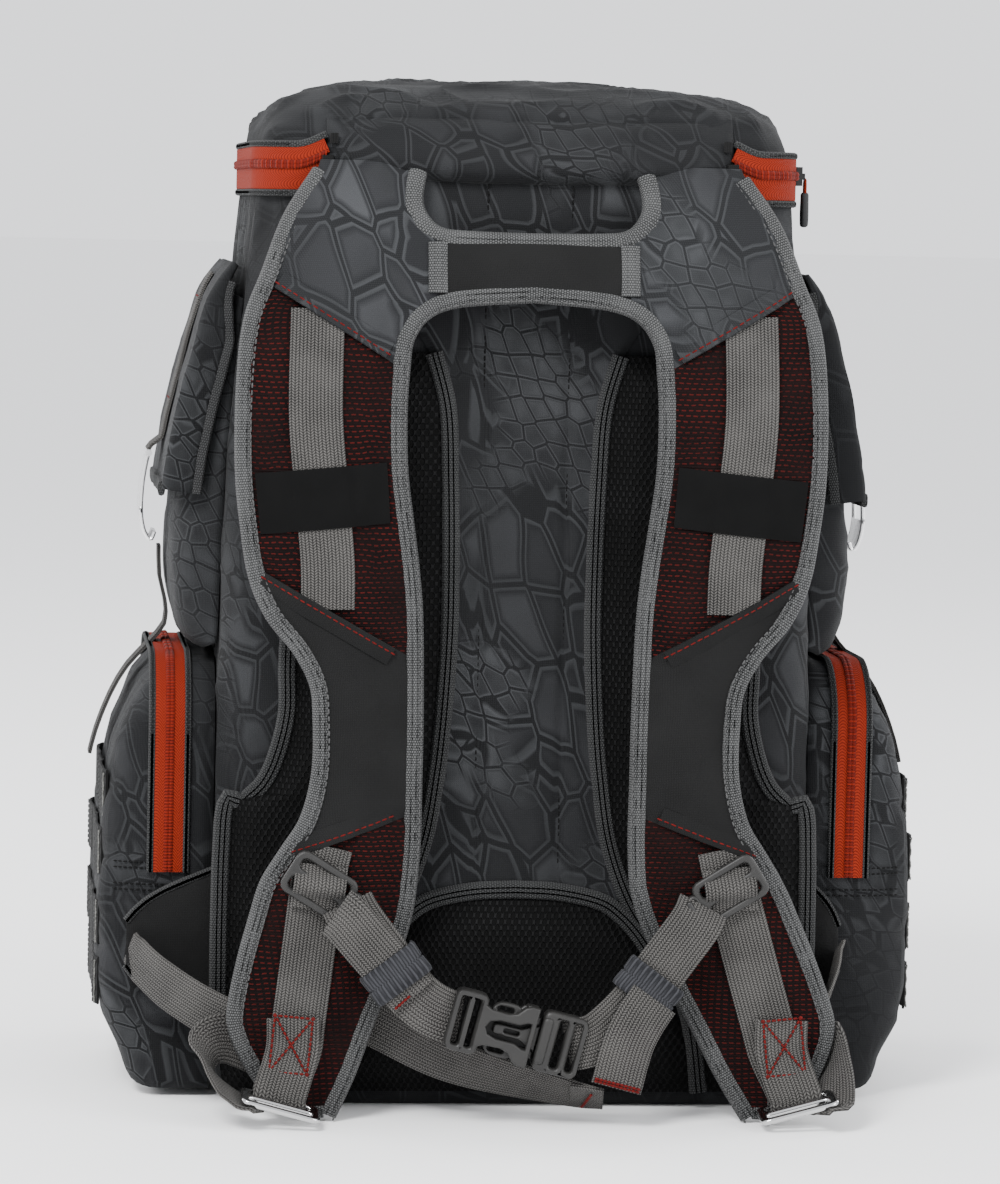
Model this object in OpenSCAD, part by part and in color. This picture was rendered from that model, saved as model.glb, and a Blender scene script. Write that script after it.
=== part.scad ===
// Tackle backpack: a tall bag with a zipped top lid, two flap cargo pockets high on its sides,
// three clamshell pockets low on its sides and front, and a padded harness with a chest strap.
// Millimetres. The wearer's side faces -Y, +Z is up, and the base stands on z = 0.

/* [Bag] */
// Half width of the bag below the cargo pockets
bag_half = 142; // [138:1:146]
// Half width of the bag at the lid zip
neck_half = 127; // [124:1:129]
// Depth of the bag without pads and pockets
bag_depth = 190; // [184:2:200]
// Height of the rim that the lid zip closes on
rim_z = 444; // [442:1:446]
// Height of the closed lid's crown
crown_z = 485; // [480:1:490]
// Wall of fabric, foam and lining
wall = 3; // [2:0.5:4]

/* [Clamshell pockets] */
// Half width of the side pockets, front to back
side_pocket_half = 75; // [60:1:80]
// Half width of the front pocket
front_pocket_half = 112; // [90:1:115]
// Distance from the bag's wall to the pocket zip
zip_reach = 21; // [18:1:24]
// Width of each zip tape that shows beside the coil
tape_w = 6; // [5:0.5:8]

/* [Harness] */
// Thickness of the strap pads
pad_t = 9; // [7:1:11]
// Width of the shoulder and chest webbing
web_w = 25; // [24:0.5:26]
// Thickness of the webbing
web_t = 1.8; // [1.4:0.1:2]
// How far the left strap's lower end leans outwards
left_splay = -6; // [-8:1:8]
// How far the right strap's lower end leans outwards
right_splay = 12; // [0:1:14]

/* [Hidden] */
$fn = 48;

half_depth = bag_depth / 2;
rear_y = -half_depth;
gap = 0.4;            // clearance between a moving piece and its neighbour
zip_t = 1.5;          // thickness of a zip tape on the fabric
tongue_half = 92;     // half width of the fabric hinge between the lid zip's ends
tongue_z = 455;       // height of that hinge
camo = "dimgray";
grey = "gray";
orange = "orangered";
metal = "silver";
black = [0.12, 0.12, 0.12];

// ---- curves and outlines -------------------------------------------------------------------

function reversed(p) = [for (i = [len(p) - 1:-1:0]) p[i]];
function flipped(p) = [for (q = p) [-q[0], q[1]]];
function clamped(p, i) = p[max(0, min(len(p) - 1, i))];

// A smooth curve through its control points, with n steps to each span
function curve(p, n = 3) = concat(
    [for (i = [0:len(p) - 2], k = [0:n - 1])
        let (t = k / n, a = clamped(p, i - 1), b = p[i], c = p[i + 1], d = clamped(p, i + 2))
        (2 * b + (c - a) * t + (2 * a - 5 * b + 4 * c - d) * t * t
            + (3 * b - a - 3 * c + d) * t * t * t) / 2],
    [p[len(p) - 1]]);

// The part of a curve between two heights
function between(p, low, high) = [for (q = p) if (q[1] >= low && q[1] <= high) q];

// The lower end of a strap leans sideways by up to lean
splay_z = 112;
function leaned(p, lean) = [for (q = p) [q[0] + lean * max(0, splay_z - q[1]) / 100, q[1]]];

// A strip of the given width along a line of points, as an outline
function side_of(p, i) = let (d = clamped(p, i + 1) - clamped(p, i - 1)) [d[1], -d[0]] / norm(d);
function strip(p, w) = concat([for (i = [0:len(p) - 1]) p[i] + side_of(p, i) * w / 2],
    [for (i = [len(p) - 1:-1:0]) p[i] - side_of(p, i) * w / 2]);

// An outline in X and Z with its thickness from y0 to y1
module slab_xz(points, y0, y1)
    translate([0, y1, 0]) rotate([90, 0, 0]) linear_extrude(y1 - y0) polygon(points);

// A profile in Y and Z that runs from x0 to x1
module slab_yz(points, x0, x1)
    translate([x0, 0, 0]) rotate([90, 0, 90]) linear_extrude(x1 - x0) polygon(points);

module round_rect(half_x, half_y, r) {
    square([2 * (half_x - r), 2 * half_y], center = true);
    square([2 * half_x, 2 * (half_y - r)], center = true);
    for (x = [-1, 1], y = [-1, 1]) translate([x * (half_x - r), y * (half_y - r)]) circle(r);
}

// An arch as high as h with rounded top corners, standing on y = base
module arch(half, base, h, r) {
    translate([-half, base]) square([2 * half, h - r - base]);
    translate([-half + r, base]) square([2 * (half - r), h - base]);
    for (x = [-1, 1]) translate([x * (half - r), h - r]) circle(r);
}

// A flat strap along points in space; across is its width direction at each point
function unit(v) = v / norm(v);
module ribbon(points, across, w, t) {
    last = len(points) - 1;
    rings = [for (i = [0:last])
        let (d = clamped(points, i + 1) - clamped(points, i - 1), a = unit(across[i]) * w / 2,
            n = unit(cross(d, across[i])) * t / 2)
        each [points[i] - a - n, points[i] + a - n, points[i] + a + n, points[i] - a + n]];
    sides = [for (i = [0:last - 1], k = [0:3])
        let (a = 4 * i + k, b = 4 * i + (k + 1) % 4) each [[a, a + 4, b], [b, a + 4, b + 4]]];
    caps = [[0, 1, 2], [0, 2, 3], [4 * last + 2, 4 * last + 1, 4 * last],
        [4 * last + 3, 4 * last + 2, 4 * last]];
    polyhedron(rings, concat(sides, caps), convexity = 4);
}

// Draws its children on the left (-1) or right (1) of the bag
module on_side(side) mirror([side < 0 ? 1 : 0, 0, 0]) children();

// ---- main bag ------------------------------------------------------------------------------

function bag_half_at(z) = lookup(z, [[0, bag_half - 6], [20, bag_half], [200, bag_half],
    [300, bag_half - 3], [396, neck_half + 4], [rim_z, neck_half], [500, neck_half - 1]]);
bag_heights = [0, 20, 200, 300, 396, rim_z];

function bag_outline(inset, low, high) = let (
    zs = concat([low], [for (z = bag_heights) if (z > low + 1 && z < high - 1) z], [high]),
    right = [for (z = zs) [bag_half_at(z) - inset, z]]) concat(right, reversed(flipped(right)));

// The body's corners are rounder round the neck, above collar_z
collar_z = 396;
module bag_solid(inset, low, high)
    intersection() {
        slab_xz(bag_outline(inset, low, high), rear_y + inset, half_depth - inset);
        union() {
            translate([0, 0, low - 1]) linear_extrude(collar_z - low + 1)
                round_rect(bag_half + 1 - inset, half_depth - inset, 24 - inset);
            translate([0, 0, collar_z - 1]) linear_extrude(high - collar_z + 2)
                round_rect(neck_half + 4.2 - inset, half_depth - inset, 27 - inset);
        }
    }

module main_shell() color(camo) {
    difference() {
        bag_solid(0, 0, rim_z);
        bag_solid(wall, wall, rim_z + 5);
    }
    translate([-tongue_half, rear_y, rim_z]) cube([2 * tongue_half, wall, tongue_z - rim_z]);
}

board_t = 2.5;
module base_board() color(black)
    translate([0, 0, wall]) linear_extrude(board_t)
        round_rect(bag_half - 12, half_depth - wall - 1, 16);

module frame_sheet() color(black)
    translate([0, rear_y + wall, 210]) rotate([-90, 0, 0]) linear_extrude(2)
        round_rect(neck_half - 26, 196, 20);

// ---- back pads -----------------------------------------------------------------------------

pad_depth = 14;
spine_edge = curve([[44, 358], [37, 332], [35, 299], [34, 262], [34, 226], [36, 187], [39, 157],
    [44, 127], [54, 100], [68, 78], [84, 46], [90, 8]]);
pad_edge = curve([[68, 358], [92, 320], [106, 270], [110, 215], [110, 186], [118, 158],
    [130, 145], [140, 138]]);
lumbar_edge = curve([[-72, 62], [-60, 82], [-49, 94], [-39, 100], [-20, 104], [0, 105], [20, 104],
    [39, 100], [49, 94], [60, 82], [72, 62]]);

module back_pad(side) color(black) on_side(side)
    slab_xz(concat(reversed(spine_edge), pad_edge, [[140, 24], [132, 8]]),
        rear_y - pad_depth, rear_y);

module lumbar_pad() color(black)
    slab_xz(concat(lumbar_edge, [[82, 40], [86, 8], [-86, 8], [-82, 40]]), rear_y - pad_depth - 2,
        rear_y);

module spine_panel() color(camo) {
    edge = [for (q = between(spine_edge, 106, 400)) q - [0.3, 0]];
    slab_xz(concat(reversed(edge), [[30, 366], [-30, 366]], flipped(edge)), rear_y - 5, rear_y);
}

// ---- lid -----------------------------------------------------------------------------------

lid_z = rim_z + 2 * gap;
lid_side = [[neck_half - 1, lid_z], [neck_half - 2, 456], [121, 466], [111, 475], [84, crown_z - 3],
    [40, crown_z]];
lid_fore = [[half_depth - 1, lid_z], [half_depth - 2, 457], [half_depth - 8, 469],
    [half_depth - 22, 478], [half_depth - 50, crown_z - 1], [20, crown_z]];

function mirrored_outline(p) = concat(p, reversed(flipped(p)));
function shrunk(p, by) = [for (q = p) [q[0] - by, q[1] - by]];

module lid_solid(by)
    intersection() {
        slab_xz(mirrored_outline(shrunk(lid_side, by)), rear_y - 1, half_depth + 1);
        slab_yz(mirrored_outline(shrunk(lid_fore, by)), -bag_half, bag_half);
        translate([0, 0, lid_z - 10]) linear_extrude(80)
            round_rect(neck_half - 1 - by, half_depth - 1 - by, 24 - by);
    }

module lid_shell() color(camo)
    difference() {
        lid_solid(0);
        lid_solid(wall);
        translate([-tongue_half - gap, rear_y - 1, lid_z - 1])
            cube([2 * (tongue_half + gap), wall + 2, tongue_z + gap - lid_z + 1]);
    }

// A band round the bag at the lid zip, open between the zip's rear ends
band_r = 18;
module lid_band(low, high)
    difference() {
        translate([0, 0, low]) linear_extrude(high - low) difference() {
            round_rect(neck_half + zip_t + 1, half_depth + zip_t, band_r + zip_t);
            round_rect(neck_half + 1, half_depth + 0.2, band_r);
        }
        translate([-tongue_half - gap, rear_y - 5, low - 1])
            cube([2 * (tongue_half + gap), 20, high - low + 2]);
    }

tape_high = 8.5;
module lid_zip_tape() color(orange) lid_band(lid_z, lid_z + tape_high);

slider_y = -66;
slider_x = neck_half + zip_t + 1 + gap;
module lid_zip_slider() color(metal)
    translate([slider_x, slider_y, rim_z + gap]) {
        translate([0, -6, -4.5]) cube([3, 12, 9]);
        translate([3, -1.5, -1.5]) cube([2, 3, 3]);
    }

module lid_zip_pull() color(black)
    translate([slider_x + 3.4, slider_y - 4, rim_z + gap - 24]) cube([3.6, 8, 21.5]);

// ---- clamshell pockets ---------------------------------------------------------------------
// Each is drawn with x outwards from the bag's wall and y along it, and then placed.

side_profile = [[0, 3], [38, 3], [42, 19], [51, 37], [54, 55], [55, 92], [53, 134], [47, 169],
    [37, 195], [26, 207], [0, 210]];
front_profile = [[0, 3], [40, 3], [46, 20], [52, 44], [55, 92], [54, 190], [49, 232], [38, 258],
    [26, 269], [0, 274]];
side_top = 210;
front_top = 274;
corner_r = 28;
hinge_z = 99;
zip_low_z = 108;      // where the pocket zips end
skin = 2.5;           // wall of a pocket

module at_face(face)
    if (face == "front") translate([0, half_depth + gap, 0]) rotate([0, 0, 90]) children();
    else on_side(face == "left" ? -1 : 1) translate([bag_half + gap, 0, 0]) children();

function inset_profile(p, by) = [for (i = [0:len(p) - 1]) [p[i][0] - (i == 0 || i == len(p) - 1
    ? -by : by), p[i][1] + (i < 2 ? by : i > len(p) - 4 ? -by : 0)]];

module pocket_solid(profile, half, top, by)
    intersection() {
        slab_xz(inset_profile(profile, by), -half + by, half - by);
        translate([-5, 0, 0]) rotate([90, 0, 90]) linear_extrude(80)
            arch(half - by, 3 + by, top - by, corner_r - by);
    }

// Side view of the door's share of the pocket
door_share = [[zip_reach + gap, zip_low_z + gap], [50, zip_low_z + gap], [50, hinge_z + gap],
    [70, hinge_z + gap], [70, 300], [zip_reach + gap, 300]];
fixed_share = [[-5, 0], [70, 0], [70, hinge_z], [50 - gap, hinge_z], [50 - gap, zip_low_z],
    [zip_reach, zip_low_z], [zip_reach, 300], [-5, 300]];

module pocket_shell(profile, half, top, share) color(camo)
    intersection() {
        difference() {
            pocket_solid(profile, half, top, 0);
            pocket_solid(profile, half, top, skin);
        }
        slab_xz(share, -200, 200);
    }

module pocket_tape(half, top, x0)
    translate([x0, 0, 0]) rotate([90, 0, 90]) linear_extrude(tape_w) difference() {
        arch(half + zip_t, zip_low_z + gap, top + zip_t, corner_r + zip_t);
        arch(half + 0.1, zip_low_z - 1, top + 0.1, corner_r);
    }

module side_pocket(face) at_face(face)
    pocket_shell(side_profile, side_pocket_half, side_top, fixed_share);
module side_door(face) at_face(face)
    pocket_shell(side_profile, side_pocket_half, side_top, door_share);
module front_pocket() at_face("front")
    pocket_shell(front_profile, front_pocket_half, front_top, fixed_share);
module front_door() at_face("front")
    pocket_shell(front_profile, front_pocket_half, front_top, door_share);

module door_zip_tape(face) color(orange) at_face(face)
    pocket_tape(side_pocket_half, side_top, zip_reach + gap);
module front_zip_tape() color(orange) at_face("front")
    pocket_tape(front_pocket_half, front_top, zip_reach + gap);

// The tapes that stay on the bag, one solid for each zip
module zip_tapes() color(orange) {
    lid_band(rim_z - tape_high, rim_z);
    for (face = ["left", "right"]) at_face(face)
        pocket_tape(side_pocket_half, side_top, zip_reach - tape_w);
    at_face("front") pocket_tape(front_pocket_half, front_top, zip_reach - tape_w);
}

module pocket_slider(half) color(metal)
    translate([zip_reach, half + zip_t + gap, zip_low_z + 8]) {
        translate([-4, 0, -5]) cube([8, 3, 10]);
        translate([-1.5, 3, -1.5]) cube([3, 2, 3]);
    }

module pocket_pull(half) color(black)
    translate([zip_reach - 4, half + zip_t + gap + 3.4, zip_low_z - 14]) cube([8, 3, 19.5]);

module side_zip_slider(face) at_face(face) pocket_slider(side_pocket_half);
module side_zip_pull(face) at_face(face) pocket_pull(side_pocket_half);
module front_zip_slider() at_face("front") pocket_slider(front_pocket_half);
module front_zip_pull() at_face("front") pocket_pull(front_pocket_half);

// Load webbing bands across a pocket's outer face, between the heights given
band_half = 58;
band_lift = 1.2;      // the bands are flat and clear the pocket's curve
function skin_x(profile, z) = lookup(z, [for (q = profile) if (q[0] > 30) [q[1], q[0]]]);
module molle_band(profile, low, high)
    slab_xz([[skin_x(profile, low) + band_lift, low], [skin_x(profile, low) + band_lift + web_t, low],
        [skin_x(profile, high) + band_lift + web_t, high], [skin_x(profile, high) + band_lift, high]],
        -band_half, band_half);

module molle_webbing() color(grey)
    for (face = ["left", "right"]) at_face(face) {
        molle_band(side_profile, 41, 66);
        molle_band(side_profile, 70, 95);
    }

module door_molle(face) color(grey) at_face(face) {
    molle_band(side_profile, 104, 128);
    molle_band(side_profile, 131, 156);
}

// ---- cargo pockets with flaps --------------------------------------------------------------

cargo_half = 68;
cargo_low = 214;
mouth_z = 330;        // the pocket's outer wall stops here, and the flap covers the mouth
flap_half = 72;
flap_t = 3;
flap_line = curve([[135, 397], [146, 381], [156, 344], [163, 312], [166, 290]]);
cargo_face = curve([[152, 344], [159.5, 312], [162, 290], [164.5, 270], [164.5, 246],
    [159, 221], [149, cargo_low]]);

// Outline of the cargo pocket under its flap, moved in by inset
function cargo_outline(inset) = concat(
    [for (z = [cargo_low + inset, 300, 384 - inset]) [bag_half_at(z) + gap + inset, z]],
    [[141 - inset, 384 - inset], [147 - inset, 366]],
    [for (q = cargo_face) [q[0] - inset, max(q[1], cargo_low + inset)]]);

module cargo_pocket(side) color(camo) on_side(side)
    difference() {
        slab_xz(cargo_outline(0), -cargo_half, cargo_half);
        slab_xz(cargo_outline(skin), -cargo_half + skin, cargo_half - skin);
        slab_xz([[bag_half_at(mouth_z) + gap + skin, mouth_z], [190, mouth_z], [190, 400],
            [bag_half_at(384) + gap + skin, 400]], -cargo_half + skin, cargo_half - skin);
    }

module cargo_flap(side) color(camo) on_side(side)
    slab_xz(concat([for (q = flap_line) q + [gap, 0]], [for (q = reversed(flap_line))
        q + [flap_t + gap, 0.8]]), -flap_half, flap_half);

flap_web_face = flap_t + 2 * gap;
module flap_web(side) color(grey) on_side(side) {
    line = between(flap_line, 300, 392);
    slab_xz(concat([for (q = line) q + [flap_web_face, 1.2]], [for (q = reversed(line))
        q + [flap_web_face + web_t, 1.6]]), -web_w / 2, web_w / 2);
}

// Hook of bent plate with a window, which pivots in the end of the flap's webbing
hook_line = curve([[174, 304], [176.5, 290], [177, 275], [175, 265], [172, 262], [170.6, 266]]);
hook_half = 15;
module gate_hook(side) color(metal) on_side(side)
    difference() {
        slab_xz(strip(hook_line, 2), -hook_half, hook_half);
        translate([160, -hook_half + 4, 276]) cube([30, 2 * hook_half - 8, 20]);
    }

// Webbing that the hook catches, with a tail that hangs over the lower pocket
tail_w = 18;
tail_line = curve([[168, 259], [167.4, 244], [164.5, 232], [164.6, 221], [172, 211.5],
    [182.5, 200], [190.5, 186], [197, 169], [200, 157]], 2);
module cargo_tails() color(grey)
    for (side = [-1, 1]) on_side(side) slab_xz(strip(tail_line, web_t), -tail_w / 2, tail_w / 2);

// ---- harness -------------------------------------------------------------------------------

// Side view of the harness, as the height and depth of the middle of its padding
harness_line = curve([[442, -102], [430, -108], [410, -116], [381, -124], [342, -130],
    [300, -133], [250, -135], [180, -135], [120, -134], [60, -133], [2, -134]], 2);
strap_outer = curve([[101, 442], [115, 420], [125, 394], [133, 372], [136, 342], [136, 304],
    [133, 276], [129, 254], [121, 236], [108, 220], [100, 205], [98, 190], [98, 164], [103, 142],
    [112, 127], [121, 112], [127, 95], [133, 76], [138, 56], [139, 44], [134, 30], [124, 14],
    [112, 5]], 2);
strap_inner = curve([[50, 364], [60, 352], [64, 337], [65, 317], [64, 300], [61, 278],
    [58, 256], [56, 232], [55, 188], [55, 161], [55, 132], [57, 107], [62, 88], [70, 67],
    [79, 46], [88, 24], [98, 4]], 2);
seam_outer_z = 383;   // the slanting seam between yoke and strap
seam_inner_z = 350;
handle_half = 47;

function layer(front, back) = concat([for (q = harness_line) [q[1] - front, q[0]]],
    [for (q = reversed(harness_line)) [q[1] - back, q[0]]]);

// A piece of the harness with this outline, between two distances in front of its middle
module harness_layer(outline, front, back)
    intersection() {
        slab_xz(outline, -170, -80);
        slab_yz(layer(front, back), -180, 180);
    }

function strap_outline(lean) = leaned(concat(between(strap_outer, 0, seam_outer_z - 1),
    reversed(between(strap_inner, 0, seam_inner_z - 1))), lean);

module shoulder_strap(side, lean) color([0.25, 0.05, 0.05]) on_side(side)
    harness_layer(strap_outline(lean), pad_t / 2, -pad_t / 2);

module yoke() color(camo) {
    outline = concat([[57, 442]], between(strap_outer, seam_outer_z, 500),
        reversed(between(strap_inner, seam_inner_z, 400)), [[handle_half + gap, 368],
        [handle_half + gap, 414], [54, 424]]);
    for (side = [-1, 1]) on_side(side) harness_layer(outline, pad_t / 2, -pad_t / 2);
}

neck_arch = curve([[handle_half, 370], [40, 376], [22, 384], [0, 387]]);
module haul_handle() color(black)
    harness_layer(concat(neck_arch, reversed(flipped(neck_arch)),
        [[-handle_half, 412], [handle_half, 412]]), pad_t / 2, -pad_t / 2);

upper_web = curve([[101, 371], [101.5, 330], [98, 292], [95, 262], [95, 248]]);
lower_web = [[95, 122], [104, 70], [114, 14]];
module shoulder_webs() color(grey)
    for (side = [[-1, left_splay], [1, right_splay]]) on_side(side[0]) {
        harness_layer(strip(upper_web, web_w), pad_t / 2 + web_t, pad_t / 2);
        harness_layer(strip(leaned(lower_web, side[1]), web_w), pad_t / 2 + web_t, pad_t / 2);
    }

// Blank rubber patches over the webbing
patch_face = pad_t / 2 + web_t;
module strap_patches() color(black)
    for (side = [-1, 1]) on_side(side)
        harness_layer([[66, 280], [68, 308], [129, 302], [126, 274]], patch_face + 1.6, patch_face);

// Smooth cover over the narrow part of each strap, between two slanting seams
module strap_panels() color(black) {
    edge_out = between(strap_outer, 124, 247);
    edge_in = between(strap_inner, 144, 226);
    for (side = [-1, 1]) on_side(side)
        harness_layer(concat([for (q = edge_out) q - [2, 0]],
            [for (q = reversed(edge_in)) q + [2, 0]]), pad_t / 2 + 1, pad_t / 2);
}

// ---- strap adjusters -----------------------------------------------------------------------

module strap_wings() color(black)
    for (side = [-1, 1]) on_side(side)
        slab_xz([[142.6, 40], [142.6, 112], [172, 98], [182, 78], [177, 54]], -87, -83);

adjuster_line = [[176, -89.5, 66], [167, -106, 53], [156, -126, 40], [148, -139.5, 31]];
module adjuster_webs() color(grey)
    for (side = [-1, 1]) on_side(side)
        translate([side < 0 ? 0 : right_splay * 0.7, 0, 0])
            ribbon(adjuster_line, [for (q = adjuster_line) [0.1, 0, 1]], web_w, web_t);

// The ladder buckles hang forwards from the ends of the straps, nearly level
ladder_half = 19;
ladder_long = 20;
ladder_tilt = 15;
ladder_dip = 8;
module ladder_buckle(side, lean) color(metal) on_side(side)
    translate([118 + lean * 0.9, -143.5, 12]) rotate([0, -ladder_tilt, 0]) rotate([ladder_dip, 0, 0])
        linear_extrude(2.6, center = true) difference() {
            translate([-ladder_half, -ladder_long]) square([2 * ladder_half, ladder_long]);
            for (y = [-5.8, -14.2]) translate([0, y]) square([2 * ladder_half - 8, 5], center = true);
        }

tail_path = [[-106, -121, 53], [-83, -121, 51], [-64, -124, 43], [-36, -128, 30], [-3, -134, 20],
    [26, -140, 13], [39, -142, 10.5]];
tail_across = [[0.3, 0, 0.95], [0.3, 0, 0.95], [0.3, -0.3, 0.9], [0.25, -0.75, 0.6],
    [0.2, -0.88, 0.42], [0.15, -0.93, 0.33], [0.12, -0.94, 0.3]];
module adjuster_tail() color(grey)
    ribbon(tail_path, tail_across, web_w, web_t);

// ---- chest strap ---------------------------------------------------------------------------

slider_tilt = 32;
chest_y = -152;
module chest_slider(side) color(black) on_side(side)
    translate([96, -141.1, 112]) rotate([90, -slider_tilt, 0]) {
        linear_extrude(3.6) difference() {
            translate([-16.5, -11]) square([33, 22]);
            for (y = [-7.6, 2.2]) translate([-13, y]) square([26, 5.4]);
        }
        translate([-20, 0, 2]) cylinder(h = 7, r = 3);
        translate([-20.5, -3, 0.5]) cube([4.2, 6, 3.1]);
    }

buckle_at = [-4, chest_y, 45];
buckle_tilt = 14;
buckle_half = 14.5;
buckle_t = 12;
buckle_len = 64;
bar_x = buckle_len / 2;
module at_buckle() translate(buckle_at) rotate([0, buckle_tilt, 0]) children();

function on_buckle(x) = [buckle_at[0] + x * cos(buckle_tilt), buckle_at[2] - x * sin(buckle_tilt)];
chest_line_left = [[-79, 97], [-66, 80], on_buckle(-47), on_buckle(-bar_x - 3.5)];
chest_line_right = [[79, 97], [67, 80], [54, 62], [43, 47]];

module chest_web(line) color(grey)
    slab_xz(strip(line, web_w), chest_y - web_t / 2, chest_y + web_t / 2);
module chest_web_left() chest_web(curve(chest_line_left));
module chest_web_right() chest_web(curve(chest_line_right));

// Flat elastic sleeves round the two webs
keeper_len = 13;
module web_keeper(x, z, lean) translate([x, chest_y, z]) rotate([0, lean, 0])
    difference() {
        cube([keeper_len, 7, web_w + 5], center = true);
        cube([keeper_len + 1, 4.4, web_w + 2.6], center = true);
    }
module web_keepers() color([0.36, 0.38, 0.43]) {
    web_keeper(-60.5, 72.6, 53);
    web_keeper(57.5, 66.8, -53.5);
}

module block(x0, x1, half_z, t) translate([x0, -t / 2, -half_z]) cube([x1 - x0, t, 2 * half_z]);

mouth_x = 8;          // the female half ends here, along the buckle
prong_tip = -15;
prong_root = 9.6;
prong_low = 6;        // the prongs' inner and outer faces, from the buckle's middle
prong_high = 12.4;
module buckle_female() color([0.3, 0.3, 0.29]) at_buckle()
    difference() {
        block(-bar_x, mouth_x, buckle_half, buckle_t);
        block(-18, mouth_x + 1, buckle_half - 1.4, buckle_t - 4);
        block(-18, 0, buckle_half + 1, buckle_t - 4);
        block(-bar_x + 3, -bar_x + 6, buckle_half - 2, buckle_t + 1);
        block(-bar_x + 9, -bar_x + 12, buckle_half - 2, buckle_t + 1);
    }

module buckle_male() color([0.3, 0.3, 0.29]) at_buckle() {
    block(-10, 12, 2.4, 5);
    difference() {
        block(11, bar_x, buckle_half, 9);
        block(bar_x - 6, bar_x - 3, buckle_half - 2, 10);
        block(bar_x - 12, bar_x - 9, buckle_half - 2, 10);
    }
}

module buckle_prong(side) color([0.3, 0.3, 0.29]) at_buckle()
    translate([0, 2.5, 0]) rotate([90, 0, 0]) linear_extrude(5) scale([1, side])
        polygon([[prong_tip, prong_low + 1], [prong_tip, prong_high - 3],
            [prong_tip + 4, prong_high], [-2, prong_high], [1, prong_high - 2.5],
            [prong_root, prong_high - 2.5], [prong_root, prong_low], [-6, prong_low]]);

// ---- drawing -------------------------------------------------------------------------------

main_shell();
base_board();
frame_sheet();
back_pad(-1);  // back_pad_left
back_pad(1);  // back_pad_right
lumbar_pad();
spine_panel();
zip_tapes();
side_pocket("left");  // side_pocket_left
side_pocket("right");  // side_pocket_right
front_pocket();
molle_webbing();
cargo_pocket(-1);  // cargo_pocket_left
cargo_pocket(1);  // cargo_pocket_right
cargo_tails();
strap_wings();
adjuster_webs();
lid_shell();
lid_zip_tape();
lid_zip_slider();
lid_zip_pull();
cargo_flap(-1);  // cargo_flap_left
cargo_flap(1);  // cargo_flap_right
flap_web(-1);  // flap_web_left
flap_web(1);  // flap_web_right
gate_hook(-1);  // gate_hook_left
gate_hook(1);  // gate_hook_right
side_door("left");  // side_door_left
side_door("right");  // side_door_right
door_zip_tape("left");  // door_zip_tape_left
door_zip_tape("right");  // door_zip_tape_right
door_molle("left");  // door_molle_left
door_molle("right");  // door_molle_right
side_zip_slider("left");  // side_zip_slider_left
side_zip_slider("right");  // side_zip_slider_right
side_zip_pull("left");  // side_zip_pull_left
side_zip_pull("right");  // side_zip_pull_right
front_door();
front_zip_tape();
front_zip_slider();
front_zip_pull();
yoke();
haul_handle();
shoulder_strap(-1, left_splay);  // shoulder_strap_left
shoulder_strap(1, right_splay);  // shoulder_strap_right
shoulder_webs();
strap_patches();
strap_panels();
ladder_buckle(-1, left_splay);  // ladder_buckle_left
ladder_buckle(1, right_splay);  // ladder_buckle_right
adjuster_tail();
chest_slider(-1);  // chest_slider_left
chest_slider(1);  // chest_slider_right
chest_web_left();
chest_web_right();
web_keepers();
buckle_female();
buckle_male();
buckle_prong(1);  // buckle_prong_upper
buckle_prong(-1);  // buckle_prong_lower
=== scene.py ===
"""The looks of the tackle backpack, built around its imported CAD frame.

Lengths in the helpers are millimetres.
"""

import math
from collections import defaultdict
from contextlib import contextmanager

import bmesh
import bpy
import numpy as np
from mathutils import Matrix, Vector, noise
from mathutils.bvhtree import BVHTree


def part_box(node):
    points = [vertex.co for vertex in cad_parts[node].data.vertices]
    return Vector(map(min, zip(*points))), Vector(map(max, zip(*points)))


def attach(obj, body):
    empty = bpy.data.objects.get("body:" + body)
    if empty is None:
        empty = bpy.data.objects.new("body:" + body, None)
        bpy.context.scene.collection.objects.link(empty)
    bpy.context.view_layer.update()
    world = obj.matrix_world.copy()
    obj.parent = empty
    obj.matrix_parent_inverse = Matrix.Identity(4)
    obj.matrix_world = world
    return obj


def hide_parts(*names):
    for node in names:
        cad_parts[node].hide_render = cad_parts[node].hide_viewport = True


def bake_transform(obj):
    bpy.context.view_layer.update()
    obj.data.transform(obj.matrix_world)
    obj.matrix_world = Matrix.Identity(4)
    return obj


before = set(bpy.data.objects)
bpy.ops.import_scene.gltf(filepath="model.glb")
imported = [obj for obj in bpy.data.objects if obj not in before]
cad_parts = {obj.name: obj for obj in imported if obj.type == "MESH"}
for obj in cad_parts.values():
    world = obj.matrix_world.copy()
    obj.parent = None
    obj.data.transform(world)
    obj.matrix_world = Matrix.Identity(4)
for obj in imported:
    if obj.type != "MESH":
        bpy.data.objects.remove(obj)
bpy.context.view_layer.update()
MM = 0.001
SIDES = (("left", -1), ("right", 1))
NAME_OF = {side: name for name, side in SIDES}
AHEAD, UP = (0, -1, 0), (0, 0, 1)


def linked(name, data):
    made = bpy.data.objects.new(name, data)
    bpy.context.collection.objects.link(made)
    return made


# ---- camera, floor and light ----------------------------------------------------------------

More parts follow.
